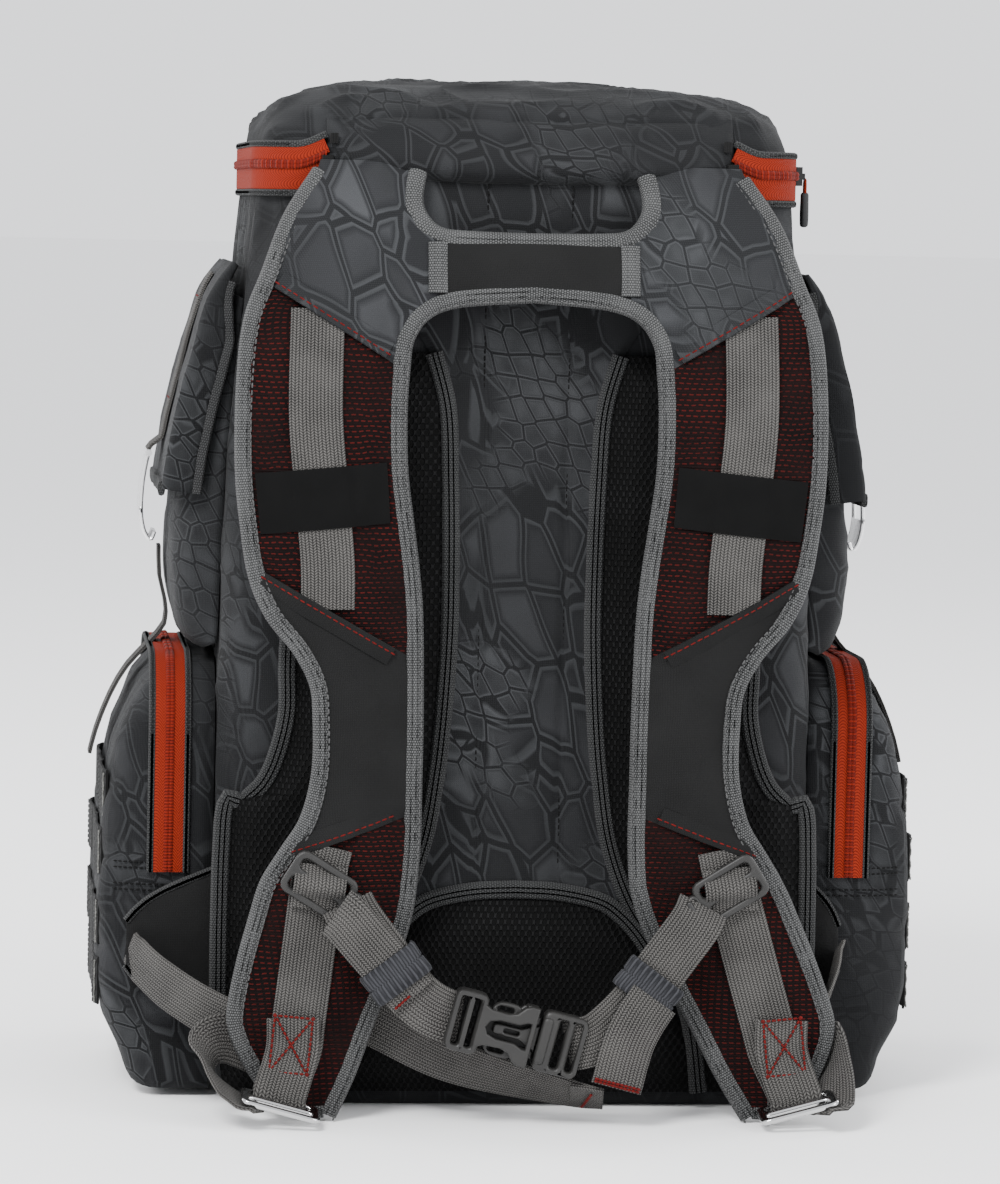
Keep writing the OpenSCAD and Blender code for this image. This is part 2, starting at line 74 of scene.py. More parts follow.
def set_camera():
    """A long lens a little to the left of the harness side and a little above it."""
    azimuth, elevation, roll = (math.radians(a) for a in (-6.0, 4.5, 1.3))
    distance, target, lens = 2.4, Vector((0.0, 0.0, 0.238)), 148.4
    back = Vector((math.sin(azimuth) * math.cos(elevation), -math.cos(azimuth) * math.cos(elevation),
                   math.sin(elevation)))
    right = Vector((0, 0, 1)).cross(back).normalized()
    up = back.cross(right)
    rolled_right = right * math.cos(roll) + up * math.sin(roll)
    rolled_up = up * math.cos(roll) - right * math.sin(roll)
    data = bpy.data.cameras.new("camera")
    data.sensor_width = 36.0
    data.lens = lens
    camera = linked("camera", data)
    turn = Matrix((rolled_right, rolled_up, back)).transposed().to_4x4()
    camera.matrix_world = Matrix.Translation(target + back * distance) @ turn
    bpy.context.scene.camera = camera


def set_studio():
    """A bright even sky, four round lamps and a pale floor."""
    world = bpy.data.worlds.new("studio")
    world.use_nodes = True
    sky = world.node_tree.nodes["Background"].inputs
    sky["Color"].default_value = (0.96, 0.97, 1.0, 1.0)
    sky["Strength"].default_value = 1.65
    bpy.context.scene.world = world
    for name, place, size, power in (("key", (-1.2, -1.9, 2.3), 1.1, 130),
                                     ("fill", (2.1, -1.7, 1.2), 1.6, 45),
                                     ("left_rim", (-2.2, 1.0, 1.3), 1.0, 35),
                                     ("right_rim", (2.2, 1.1, 1.4), 1.0, 35)):
        data = bpy.data.lights.new(name, "AREA")
        data.shape = "DISK"
        data.size = size
        data.energy = power
        lamp = linked(name, data)
        lamp.location = place
        aim = Vector((0.0, 0.0, 0.25)) - Vector(place)
        lamp.rotation_euler = aim.to_track_quat("-Z", "Y").to_euler()
    bpy.ops.mesh.primitive_plane_add(size=60.0, location=(0, 20, 0))
    floor = bpy.context.object
    floor.name = "floor"
    look = Look("floor", "#ffffff", 0.9, Base_Color=(0.93, 0.93, 0.93, 1.0))
    look.bump(look.noise(look.place(), 30), 0.02, 0.001)
    floor.data.materials.append(look.mat)


# ---- materials ------------------------------------------------------------------------------

TONE = 0.25  # colours are given as a photograph shows them; this allows for the bright studio


def linear(hex_colour):
    parts = [int(hex_colour[i:i + 2], 16) / 255 for i in (1, 3, 5)]
    parts = [c / 12.92 if c <= 0.04045 else ((c + 0.055) / 1.055) ** 2.4 for c in parts]
    return tuple(TONE * c for c in parts) + (1.0,)


class Look:
    """A procedural material, built with short calls that each return an output socket."""

    def __init__(self, name, colour, rough, **shader):
        self.mat = bpy.data.materials.new(name)
        self.mat.use_nodes = True
        self.tree = self.mat.node_tree
        self.shader = self.tree.nodes["Principled BSDF"]
        self.shader.inputs["Base Color"].default_value = linear(colour)
        self.shader.inputs["Roughness"].default_value = rough
        for key, value in shader.items():
            self.shader.inputs[key.replace("_", " ")].default_value = value

    def node(self, kind, take=0, inputs=(), **settings):
        made = self.tree.nodes.new("ShaderNode" + kind)
        for key, value in settings.items():
            setattr(made, key, value)
        for key, value in dict(inputs).items():
            if isinstance(value, bpy.types.NodeSocket):
                self.tree.links.new(value, made.inputs[key])
            else:
                made.inputs[key].default_value = value
        return made.outputs[take]

    def math(self, operation, a, b=0.0, c=0.0):
        return self.node("Math", operation=operation, inputs={0: a, 1: b, 2: c})

    def add(self, a, b):
        return self.math("ADD", a, b)

    def mul(self, a, b):
        return self.math("MULTIPLY", a, b)

    def place(self, kind="Object"):
        return self.node("TexCoord", take=kind)

    def stretch(self, vector, scale):
        return self.node("Mapping", inputs={"Vector": vector, "Scale": scale})

    def noise(self, vector, scale, detail=2.0):
        return self.node("TexNoise", inputs={"Vector": vector, "Scale": scale, "Detail": detail})

    def voronoi(self, vector, scale, feature="DISTANCE_TO_EDGE", take="Distance", random=1.0):
        return self.node("TexVoronoi", take=take, feature=feature,
                         inputs={"Vector": vector, "Scale": scale, "Randomness": random})

    def ramp(self, value, stops):
        made = self.tree.nodes.new("ShaderNodeValToRGB")
        self.tree.links.new(value, made.inputs[0])
        bar = made.color_ramp.elements
        while len(bar) < len(stops):
            bar.new(0.5)
        for slot, (at, colour) in zip(bar, stops):
            slot.position = at
            slot.color = linear(colour) if isinstance(colour, str) else (colour, colour, colour, 1.0)
        return made.outputs[0]

    def mix(self, amount, a, b, blend="MIX"):
        made = self.tree.nodes.new("ShaderNodeMix")
        made.data_type = "RGBA"
        made.blend_type = blend
        for index, value in ((0, amount), (6, a), (7, b)):
            if isinstance(value, str):
                value = linear(value)
            if isinstance(value, bpy.types.NodeSocket):
                self.tree.links.new(value, made.inputs[index])
            else:
                made.inputs[index].default_value = value
        return made.outputs[2]

    def split(self, vector):
        made = self.tree.nodes.new("ShaderNodeSeparateXYZ")
        self.tree.links.new(vector, made.inputs[0])
        return made.outputs

    def sheared(self, vector, lean):
        """Moves each place along x by its height times the lean."""
        x, y, z = self.split(vector)
        return self.node("CombineXYZ", inputs={0: self.add(x, self.mul(z, lean)), 1: y, 2: z})

    def threads(self, pitch):
        """The crossing threads of plain cloth on every upright side."""
        x, y, z = self.split(self.place())
        return self.mul(self.wave(self.add(x, y), pitch), self.wave(z, pitch))

    def wave(self, value, pitch):
        """0 to 1 and back once in every pitch, in metres."""
        return self.math("ABSOLUTE", self.math("SINE", self.mul(value, math.pi / pitch)))

    def colour(self, socket):
        self.tree.links.new(socket, self.shader.inputs["Base Color"])

    def rough(self, socket):
        self.tree.links.new(socket, self.shader.inputs["Roughness"])

    def bump(self, height, strength, depth):
        self.tree.links.new(self.node("Bump", inputs={"Height": height, "Strength": strength,
                                                      "Distance": depth}), self.shader.inputs["Normal"])


def camo_look(name, light):
    """Printed grey scales on fine woven cloth: large stretched cells, and patches of small ones."""
    look = Look(name, "#2c2d2f", 0.82, Sheen_Weight=0.02, Specular_IOR_Level=0.12)
    place = look.place()
    warp = look.node("VectorMath", operation="MULTIPLY_ADD",
                     inputs={0: look.node("TexNoise", take="Color",
                                          inputs={"Vector": place, "Scale": 14.0, "Detail": 1.0}),
                             1: (0.016, 0.016, 0.02), 2: place})
    large = look.stretch(look.sheared(warp, 0.28), (1.0, 0.8, 0.52))
    edge = look.voronoi(large, 58.0, random=0.72)
    tint = look.node("SeparateColor", inputs={0: look.voronoi(large, 58.0, "F1", "Color", 0.72)})
    cloud = look.noise(place, 13.0, 3.0)
    shade = look.add(look.mul(tint, 0.5), look.mul(cloud, 0.6))
    fill = look.ramp(shade, [(0.3, "#222326"), (0.5, "#303133"), (0.66, "#48494c"), (0.82, "#66686b")])
    line = look.ramp(edge, [(0.0, "#1b1c1e"), (0.035, "#1d1e20"), (0.05, "#5b5d60"), (0.085, "#4c4e50"),
                            (0.1, "#26272a"), (0.13, "#26272a")])
    inside = look.ramp(edge, [(0.1, 0.0), (0.2, 1.0)])
    scales = look.mix(inside, line, fill)
    beads = look.stretch(look.sheared(warp, 0.5), (1.0, 0.6, 0.87))
    bead_edge = look.voronoi(beads, 108.0, random=0.5)
    bead_fill = look.ramp(look.noise(place, 40.0), [(0.35, "#36373a"), (0.5, "#4c4e50"),
                                                    (0.65, "#66686b")])
    bead_line = look.ramp(bead_edge, [(0.04, "#1f2022"), (0.075, "#6a6c6f"), (0.13, "#46484a")])
    bead = look.mix(look.ramp(bead_edge, [(0.11, 0.0), (0.2, 1.0)]), bead_line, bead_fill)
    zones = look.ramp(look.noise(place, 10.5, 1.0), [(0.53, 0.0), (0.57, 1.0)])
    print_colour = look.mix(zones, scales, bead)
    fade = look.ramp(look.noise(place, 7.0, 2.0), [(0.35, 0.0), (0.62, 0.85)])
    soft = look.mix(fade, print_colour, "#2a2b2d")
    thread = look.threads(0.0009)
    level = look.mix(look.mul(thread, 0.25), soft, "#55575a")
    look.colour(look.mix(1.0, level, (light, light, light, 1.0), "MULTIPLY"))
    height = look.add(look.mul(thread, 0.5), look.noise(place, 900.0))
    look.bump(height, 0.35, 0.0004)
    return look.mat


def webbing_look(name, dark, light, rib=0.0014, column=0.0016, strength=0.8, slant=0.0):
    """Woven tape: ribs across its length, broken by columns along it, or slanting to and fro."""
    look = Look(name, light, 0.85, Sheen_Weight=0.03, Specular_IOR_Level=0.12)
    along, across, _ = look.split(look.place("UV"))
    if slant:
        zigzag = look.mul(look.math("PINGPONG", across, column), slant)
        strokes = look.wave(look.add(along, zigzag), rib)
        furrow = look.math("POWER", look.wave(across, column), 0.45)
        weave = look.mul(furrow, look.math("MULTIPLY_ADD", strokes, 0.75, 0.3))
        low, high = 0.15, 1.0
    else:
        row = look.math("FLOOR", look.math("DIVIDE", along, rib))
        shifted = look.add(across, look.mul(row, column / 2))
        weave = look.mul(look.wave(along, rib), look.wave(shifted, column))
        low, high = 0.0, 0.75
    worn = look.noise(look.place(), 55.0, 3.0)
    tone = look.add(weave, look.mul(look.math("SUBTRACT", worn, 0.5), 0.5))
    look.colour(look.ramp(tone, [(low, dark), (high, light)]))
    look.bump(weave, strength, 0.0007)
    return look.mat


def plain_cloth_look(name, colour, light):
    """Plain woven cloth, from its own colour to a lighter worn one."""
    look = Look(name, colour, 0.85, Sheen_Weight=0.02, Specular_IOR_Level=0.1)
    thread = look.threads(0.0008)
    worn = look.noise(look.place(), 30.0, 4.0)
    tone = look.add(look.mul(thread, 0.35), look.mul(worn, 0.75))
    look.colour(look.ramp(tone, [(0.25, colour), (0.8, light)]))
    look.bump(thread, 0.3, 0.0003)
    return look.mat


def dash_look():
    """Dark ripstop mesh with rows of short red dashes across the strap."""
    look = Look("strap_fabric", "#1d1212", 0.85, Specular_IOR_Level=0.08)
    along, across, _ = look.split(look.place("UV"))
    pitch, dash = 0.0025, 0.0034
    ripple = look.mul(look.noise(look.place(), 60.0), 0.004)
    length = look.math("DIVIDE", look.add(along, ripple), pitch)
    row = look.math("FLOOR", length)
    in_row = look.math("FRACT", length)
    shift = look.mul(row, 0.37)
    in_dash = look.math("FRACT", look.add(look.math("DIVIDE", across, dash), shift))
    on_line = look.math("LESS_THAN", look.math("ABSOLUTE", look.math("SUBTRACT", in_row, 0.5)), 0.13)
    on_dash = look.math("LESS_THAN", in_dash, 0.62)
    fade = look.ramp(look.noise(look.place(), 35.0), [(0.3, 0.3), (0.6, 1.0)])
    red = look.mul(look.mul(on_line, on_dash), fade)
    cloth = look.ramp(look.noise(look.place(), 45.0, 3.0), [(0.3, "#160b0b"), (0.7, "#281514")])
    look.colour(look.mix(red, cloth, "#74231f"))
    look.bump(look.add(look.wave(along, pitch / 2), red), 0.45, 0.0005)
    return look.mat


def mesh_look():
    """3-D spacer mesh: rows of dark holes, each row shifted by half a step."""
    look = Look("spacer_mesh", "#1b1b1b", 0.8, Specular_IOR_Level=0.1)
    x, y, z = look.split(look.place())
    flat = look.node("CombineXYZ", inputs={0: look.math("SUBTRACT", x, look.mul(y, 0.3)),
                                           2: look.mul(z, 0.62)})
    step = 1 / 0.0034
    first = look.voronoi(flat, step, "F1", random=0.0)
    half = look.node("VectorMath", operation="ADD", inputs={0: flat, 1: (0.5 / step, 0.0, 0.5 / step)})
    second = look.voronoi(half, step, "F1", random=0.0)
    hole = look.ramp(look.math("MINIMUM", first, second), [(0.24, 0.0), (0.36, 1.0)])
    mesh = look.ramp(look.noise(look.place(), 40.0), [(0.3, "#181818"), (0.7, "#2b2b2c")])
    look.colour(look.mix(hole, "#020202", mesh))
    look.bump(hole, 1.0, 0.0012)
    return look.mat


def tape_look():
    """Orange zip tape with a slanting weave."""
    look = Look("zip_tape", "#c23a1c", 0.75, Specular_IOR_Level=0.1)
    along, across, _ = look.split(look.place("UV"))
    slant = look.add(along, look.mul(look.wave(across, 0.006), 0.003))
    weave = look.wave(slant, 0.0015)
    look.colour(look.ramp(weave, [(0.0, "#8e2010"), (0.55, "#c9381a"), (1.0, "#dc4420")]))
    look.bump(weave, 0.5, 0.0005)
    return look.mat


def moulded_look(name, colour, light, rough=0.5, shine=0.3):
    """Moulded plastic or rubber with a fine grain."""
    look = Look(name, colour, rough, Specular_IOR_Level=shine)
    grain = look.noise(look.place(), 1400.0, 2.0)
    worn = look.noise(look.place(), 70.0, 3.0)
    look.colour(look.ramp(worn, [(0.3, colour), (0.7, light)]))
    look.rough(look.ramp(worn, [(0.3, rough - 0.06), (0.7, rough + 0.08)]))
    look.bump(grain, 0.12, 0.0003)
    return look.mat


def metal_look(name, colour, rough, scratch):
    """Bare metal with fine brush marks."""
    look = Look(name, colour, rough, Metallic=1.0)
    bright = tuple(min(1.0, c / TONE * 0.72) for c in linear(colour)[:3]) + (1.0,)
    look.shader.inputs["Base Color"].default_value = bright
    brushed = look.noise(look.stretch(look.place(), (60.0, 900.0, 60.0)), 1.0, 3.0)
    look.rough(look.ramp(brushed, [(0.3, rough), (0.7, rough + scratch)]))
    look.bump(brushed, 0.05 + scratch, 0.0002)
    return look.mat


def thread_look(name, colour, light):
    look = Look(name, colour, 0.7, Specular_IOR_Level=0.1)
    twist = look.noise(look.place(), 900.0, 2.0)
    look.colour(look.ramp(twist, [(0.3, colour), (0.7, light)]))
    look.bump(twist, 0.4, 0.0003)
    return look.mat


def make_looks():
    return {
        "camo": camo_look("camo_fabric", 0.9),
        "camo_light": camo_look("camo_fabric_light", 1.5),
        "black": plain_cloth_look("black_fabric", "#242424", "#343434"),
        "lining": plain_cloth_look("lining", "#3a3b3d", "#505255"),
        "dark": plain_cloth_look("dark_fabric", "#161616", "#242425"),
        "mesh": mesh_look(),
        "webbing": webbing_look("webbing", "#1f1e1d", "#a09d99", 0.0013, 0.0017, 0.9, 0.7),
        "fine_webbing": webbing_look("fine_webbing", "#1e1d1c", "#969390", 0.0011, 0.0014, 0.9, 0.6),
        "binding": webbing_look("binding", "#3e3f3f", "#a2a3a3", 0.0012, 0.0012, 0.7),
        "dark_binding": webbing_look("dark_binding", "#38393a", "#6d6e6e", 0.0012, 0.0012, 0.7),
        "elastic": webbing_look("elastic", "#34353a", "#696a70", 0.0015, 0.03, 0.9),
        "tape": tape_look(),
        "coil": webbing_look("zip_coil", "#8c1c0a", "#cc3414", 0.0016, 0.03, 1.0),
        "dashes": dash_look(),
        "rubber": moulded_look("patch_rubber", "#1a1a1a", "#222222", 0.8, 0.05),
        "plastic": moulded_look("buckle_plastic", "#3d3c3b", "#4b4a48", 0.46),
        "pull": moulded_look("pull_plastic", "#3a3b3c", "#4b4c4d", 0.55),
        "slider": metal_look("slider_metal", "#3a3a3a", 0.4, 0.15),
        "steel": metal_look("hook_metal", "#ffffff", 0.25, 0.12),
        "chrome": metal_look("chrome", "#d4d4d4", 0.12, 0.06),
        "red_thread": thread_look("red_thread", "#7c1b18", "#aa2823"),
        "black_thread": thread_look("black_thread", "#0d0d0d", "#1c1c1c"),
        "grey_thread": thread_look("grey_thread", "#6b6b6b", "#8d8d8d"),
        "pale_thread": thread_look("pale_thread", "#9c9c98", "#c9c9c4"),
    }


# ---- curves and meshes ----------------------------------------------------------------------

def curve(points, steps=8):
    """A smooth line through the points, which may have two or three coordinates."""
    p = np.array(points, float)
    padded = np.vstack([p[:1], p, p[-1:]])
    line = []
    for i in range(len(p) - 1):
        a, b, c, d = padded[i:i + 4]
        for t in np.arange(steps) / steps:
            line.append((2 * b + (c - a) * t + (2 * a - 5 * b + 4 * c - d) * t ** 2
                         + (3 * b - a - 3 * c + d) * t ** 3) / 2)
    return np.array(line + [p[-1]])


def travelled(line):
    return np.concatenate([[0], np.cumsum(np.linalg.norm(np.diff(line, axis=0), axis=1))])


def spread(line, count):
    """The same line with this many points at even steps."""
    line = np.array(line, float)
    far = travelled(line)
    at = np.linspace(0, far[-1], count)
    return np.stack([np.interp(at, far, line[:, k]) for k in range(line.shape[1])], 1)


def every(line, step):
    return spread(line, max(2, int(round(travelled(np.array(line, float))[-1] / step)) + 1))


def unit(rows):
    rows = np.array(rows, float)
    return rows / np.maximum(np.linalg.norm(rows, axis=-1, keepdims=True), 1e-9)


def smooth_step(t):
    t = np.clip(t, 0, 1)
    return t * t * (3 - 2 * t)


def free_name(name):
    """A name of its own for a piece that stands for a CAD node."""
    return name + "_look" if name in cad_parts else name


@contextmanager
def editing(mesh):
    """The mesh's faces for bmesh's tools; they are written back at the end."""
    bm = bmesh.new()
    bm.from_mesh(mesh)
    yield bm
    bm.to_mesh(mesh)
    bm.free()


def cut_through(bm, place, normal, **lost):
    bmesh.ops.bisect_plane(bm, geom=bm.verts[:] + bm.edges[:] + bm.faces[:], dist=1e-6,
                           plane_co=Vector(place) * MM, plane_no=Vector(normal), **lost)


def finished(name, mesh, sharp):
    """A smooth piece that keeps its edges sharper than this angle in degrees."""
    mesh.shade_smooth()
    mesh.set_sharp_from_angle(angle=math.radians(sharp))
    return linked(free_name(name), mesh)


class Shape:
    """Collects grids of points in millimetres, and builds one mesh with UVs in metres."""

    def __init__(self):
        self.points, self.faces, self.uvs, self.kinds = [], [], [], []

    def grid(self, rows, kind=0, uv=None):
        rows = np.array(rows, float)
        height, width = rows.shape[:2]
        if uv is None:
            v = np.concatenate([np.zeros((height, 1)),
                                np.cumsum(np.linalg.norm(np.diff(rows, axis=1), axis=2), axis=1)], 1)
            u = np.concatenate([np.zeros((1, width)),
                                np.cumsum(np.linalg.norm(np.diff(rows, axis=0), axis=2), axis=0)], 0)
            u = np.repeat(u.mean(1, keepdims=True), width, 1)
            uv = np.stack([u, v], 2) * MM
        base = len(self.points)
        self.points += rows.reshape(-1, 3).tolist()
        self.uvs += uv.reshape(-1, 2).tolist()
        for i in range(height - 1):
            for j in range(width - 1):
                a = base + i * width + j
                self.faces.append([a, a + 1, a + width + 1, a + width])
                self.kinds.append(kind)

    def cap(self, ring, kind=0, flip=False):
        ring = np.array(ring, float)
        base = len(self.points)
        self.points += ring.tolist()
        self.uvs += (ring[:, [2, 0]] * MM).tolist()
        face = list(range(base, base + len(ring)))
        self.faces.append(face[::-1] if flip else face)
        self.kinds.append(kind)

    def build(self, name, looks, merge=0.02, sharp=50):
        mesh = bpy.data.meshes.new(name)
        mesh.from_pydata((np.array(self.points) * MM).tolist(), [], self.faces)
        layer = mesh.uv_layers.new(name="UVMap")
        corners = np.array([i for face in self.faces for i in face])
        layer.data.foreach_set("uv", np.array(self.uvs)[corners].ravel())
        mesh.polygons.foreach_set("material_index", self.kinds)
        for look in looks:
            mesh.materials.append(look)
        with editing(mesh) as bm:
            bmesh.ops.remove_doubles(bm, verts=bm.verts, dist=merge * MM)
            bmesh.ops.recalc_face_normals(bm, faces=bm.faces)
        return finished(name, mesh, sharp)


def fix(piece, body, nodes=()):
    """Puts a piece on its body, and hides the CAD nodes that it stands for."""
    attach(piece, body)
    if nodes:
        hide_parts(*nodes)
    return piece


def bend(piece, start_body, end_body, start, end, slot, nodes=()):
    """Bakes a soft piece's place into its mesh and hides its CAD nodes; the bodies, places and slot are
    not used.
    """
    if nodes:
        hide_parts(*nodes)
    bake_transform(piece)


def columns(*parts):
    """Rows of places from their coordinates, each of which may be one number for all."""
    return np.stack(np.broadcast_arrays(*parts), -1)


def sideways(path):
    """Directions across a path that faces ahead."""
    return unit(np.cross(unit(np.gradient(np.array(path, float), axis=0)), (0, 1, 0)))


def directions(path, across):
    """Unit directions along a path, across it and out of its face."""
    along = unit(np.gradient(np.array(path, float), axis=0))
    across = np.broadcast_to(np.array(across, float), along.shape)
    out = unit(np.cross(along, across))
    return along, unit(np.cross(out, along)), out


def band(shape, path, across, section, kind=0, ends=True):
    """Sweeps a closed section of (across, out) offsets along a path."""
    path = np.array(path, float)
    _, side, out = directions(path, across)
    loop = np.array(list(section) + [section[0]], float)
    rows = path[:, None] + loop[None, :, :1] * side[:, None] + loop[None, :, 1:] * out[:, None]
    u = np.repeat(travelled(path)[:, None], len(loop), 1)
    v = np.repeat(travelled(loop)[None], len(path), 0)
    shape.grid(rows, kind, np.stack([u, v], 2) * MM)
    if ends:
        shape.cap(rows[0, :-1], kind)
        shape.cap(rows[-1, :-1], kind, flip=True)


def tape_section(width, thick, soft=0.5):
    """Section of a flat woven tape with rounded edges."""
    w, t, e = width / 2, thick / 2, min(soft, thick / 2)
    top = [(-w, 0), (-w + e * 0.4, t * 0.8), (-w + e * 1.4, t), (-w / 3, t), (w / 3, t),
           (w - e * 1.4, t), (w - e * 0.4, t * 0.8), (w, 0)]
    return top + [(a, -b) for a, b in reversed(top[1:-1])]


def tape_piece(name, path, across, width, thick, look, step=3.0):
    shape = Shape()
    path = every(path, step)
    if np.ndim(across) == 2:
        across = spread(across, len(path))
    band(shape, path, across, tape_section(width, thick))
    return shape.build(name, [look])


stitch_rows = defaultdict(list)


def stitch(body, look, path, out, pitch=3.4, length=2.4, radius=0.35):
    """Adds a row of thread stitches on a path; they are built together at the end."""
    path = every(path, pitch)
    out = np.broadcast_to(np.array(out, float), (len(path), 3))
    stitch_rows[body, look].append((path, out, length, radius))


def build_stitches(looks):
    profile = ((-0.5, 0.35), (-0.36, 0.9), (0.0, 1.0), (0.36, 0.9), (0.5, 0.35))
    for (body, look), rows in stitch_rows.items():
        shape = Shape()
        for path, out, length, radius in rows:
            along = unit(np.gradient(path, axis=0))
            for place, way, normal in zip(path, along, out):
                side = unit(np.cross(way, normal))
                normal = np.cross(side, way)
                rings = [[place + way * length * at + radius * size
                          * (side * math.cos(a) * 1.3 + normal * math.sin(a))
                          for a in np.linspace(0, 2 * math.pi, 7)] for at, size in profile]
                shape.grid(rings)
        piece = shape.build("{}_{}".format(look, body), [looks[look]], merge=0.001, sharp=80)
        fix(piece, body)


# ---- harness --------------------------------------------------------------------------------
# Everything here is drawn for the right side and mirrored. Outlines are x and height, as seen from
# the front; the depth follows from the height.

WEB_WIDTH, WEB_THICK = 25.0, 1.8
SPLAY = {-1: -6.0, 1: 12.0}  # how far a strap leans sideways over the 100 below this height
SPLAY_TOP = 112.0
HARNESS_LINE = curve([(447, -98), (442, -102), (430, -108), (410, -116), (381, -124), (342, -130),
                      (300, -133), (250, -135), (180, -135), (120, -134), (60, -133), (2, -134)])
STRAP_OUTER = curve([(99, 447), (101, 442), (115, 420), (125, 394), (133, 372), (136, 342), (136, 304),
                     (133, 276), (129, 254), (121, 236), (108, 220), (100, 205), (98, 190), (98, 164),
                     (103, 142), (112, 127), (121, 112), (127, 95), (133, 76), (138, 56), (139, 44),
                     (134, 30), (124, 14), (112, 5)])
STRAP_INNER = curve([(64, 352), (65, 337), (65, 317), (64, 300), (61, 278), (58, 256), (56, 232),
                     (55, 188), (55, 161), (55, 132), (57, 107), (62, 88), (70, 67), (79, 46), (88, 24),
                     (98, 4)])
NECK_ARCH = curve([(64, 352), (62, 366), (53, 379), (36, 386), (0, 389)])
HAND_OPENING = curve([(53, 444), (55, 438), (56, 427), (52, 418), (44, 412), (30, 410.5), (0, 410)])
NECK_SIDE = 45.0
SEAMS = (((127, 391), (68, 355)), ((123, 256), (61, 221)), ((122, 119), (57, 143)))
UPPER_WEB = curve([(101, 378), (101.5, 330), (98, 292), (95, 262), (94.5, 240)])
LOWER_WEB = curve([(93, 130), (95, 122), (104, 70), (114, 14)])
PATCH = ((68, 308), (66, 280), (129, 302), (126, 274))


def harness_y(z):
    return np.interp(z, HARNESS_LINE[::-1, 0], HARNESS_LINE[::-1, 1])


def lean(z, side):
    return SPLAY[side] * np.maximum(0, SPLAY_TOP - z) / 100


def splayed(line, side):
    """The lower end of each strap leans sideways; the result is on its own side of the bag."""
    line = np.array(line, float)
    return columns(side * (line[:, 0] + lean(line[:, 1], side)), line[:, 1])


def inner_x(z):
    arch = NECK_ARCH[NECK_ARCH[:, 0] > NECK_SIDE]
    opening = HAND_OPENING[HAND_OPENING[:, 0] > NECK_SIDE]
    line = np.vstack([STRAP_INNER[::-1], arch[1:], [[NECK_SIDE, 384], [NECK_SIDE, 412]], opening[::-1]])
    return np.interp(z, line[:, 1], line[:, 0])


def outer_x(z):
    return np.interp(z, STRAP_OUTER[::-1, 1], STRAP_OUTER[::-1, 0])


def pad_height(distance):
    return 2.2 + 3.6 * smooth_step((distance - 4) / 15)


def seam_gap(x, z, seam):
    """Distance above a slanting seam."""
    (ax, az), (bx, bz) = seam
    return ((ax - bx) * (z - bz) - (az - bz) * (x - bx)) / math.hypot(ax - bx, az - bz)


def face_height(x, z):
    """How far the padding's front stands out of the harness's middle, at unsplayed places."""
    x, z = np.array(x, float), np.array(z, float)
    height = pad_height(np.minimum(outer_x(z) - x, x - inner_x(z)))
    for seam in SEAMS:
        height = height - 1.1 * np.exp(-(seam_gap(x, z, seam) / 3.5) ** 2)
    return height


def over_web(x, z, line):
    """The extra height of the webbing under a piece."""
    middle = np.interp(z, line[::-1, 1], line[::-1, 0])
    return 1.9 * smooth_step((WEB_WIDTH / 2 + 3 - np.abs(np.array(x) - middle)) / 4)


def on_harness(line, out, side):
    """Places in space for unsplayed x and heights, this far in front of the harness's middle."""
    line = np.array(line, float)
    flat = splayed(line, side)
    return columns(flat[:, 0], harness_y(line[:, 1]) - out, flat[:, 1])


def in_plane(path, side):
    """Width directions that lie in the harness's face, pointing away from the middle of the bag."""
    along = unit(np.gradient(path, axis=0))
    return unit(columns(-along[:, 2], 0.0, along[:, 0])) * side


def cut(piece, seam, side, above=None):
    """Cuts a mesh along a seam's plane; above says which part is thrown away, if any."""
    (ax, az), (bx, bz) = splayed(seam, side)
    normal = Vector((-(az - bz), 0, ax - bx)).normalized()
    if normal.z < 0:
        normal.negate()
    with editing(piece.data) as bm:
        cut_through(bm, (ax, 0, az), normal, clear_outer=above is True, clear_inner=above is False)


def strap_side(side, looks):
    """One shoulder strap with its half of the yoke: cloth in four parts over a mesh back."""
    heights = np.concatenate([np.linspace(447, 384, 26), np.linspace(381, 6, 128)])
    across = (1 - np.cos(np.linspace(0, math.pi, 17))) / 2
    shape = Shape()
    rows = []
    for z in heights:
        low, high = inner_x(z), outer_x(z)
        x = low + (high - low) * across
        front = face_height(x, z)
        edge = np.minimum(x - low, high - x)
        ripple = [noise.noise(Vector((a * 0.035, z * 0.03, side))) for a in x]
        pucker = 0.35 * np.sin(z * 0.62 + 2 * side) * np.exp(-edge / 7)
        front = front + np.array(ripple) * 1.1 * smooth_step(edge / 8) + pucker
        top = on_harness(columns(x, z), front, side)
        back = on_harness(columns(x, z), -pad_height(edge) * 0.85, side)
        rows.append(np.vstack([top, back[::-1], top[:1]]))
    shape.grid(rows)
    shape.cap(rows[-1][:-1])
    piece = shape.build("strap_" + NAME_OF[side],
                        [looks["camo_light"], looks["dashes"], looks["black"], looks["mesh"]])
    for seam in SEAMS:
        cut(piece, seam, side)
    for face in piece.data.polygons:
        x, y, z = face.center / MM
        x = x * side - lean(z, side)
        above = [seam_gap(x, z, seam) > 0 for seam in SEAMS]
        cloth = 0 if above[0] else 2 if above[2] and not above[1] else 1
        face.material_index = 3 if y > harness_y(z) + 0.2 else cloth
    return piece


def edge_binding(shape, path, across, width=8.8, thick=6.2):
    band(shape, path, across, tape_section(width, thick, 2.6))


def bind_and_stitch(shape, edge, outwards):
    edge_binding(shape, edge - outwards * 2.2, outwards)
    stitch("harness", "grey_thread", edge - outwards * 5.2 + [0, -3.35, 0], AHEAD)


def whole_harness_line(half):
    """Both sides of a line that meets itself in the middle."""
    left, right = (on_harness(half, 0, side) for side in (-1, 1))
    return np.vstack([left, right[::-1][1:]])


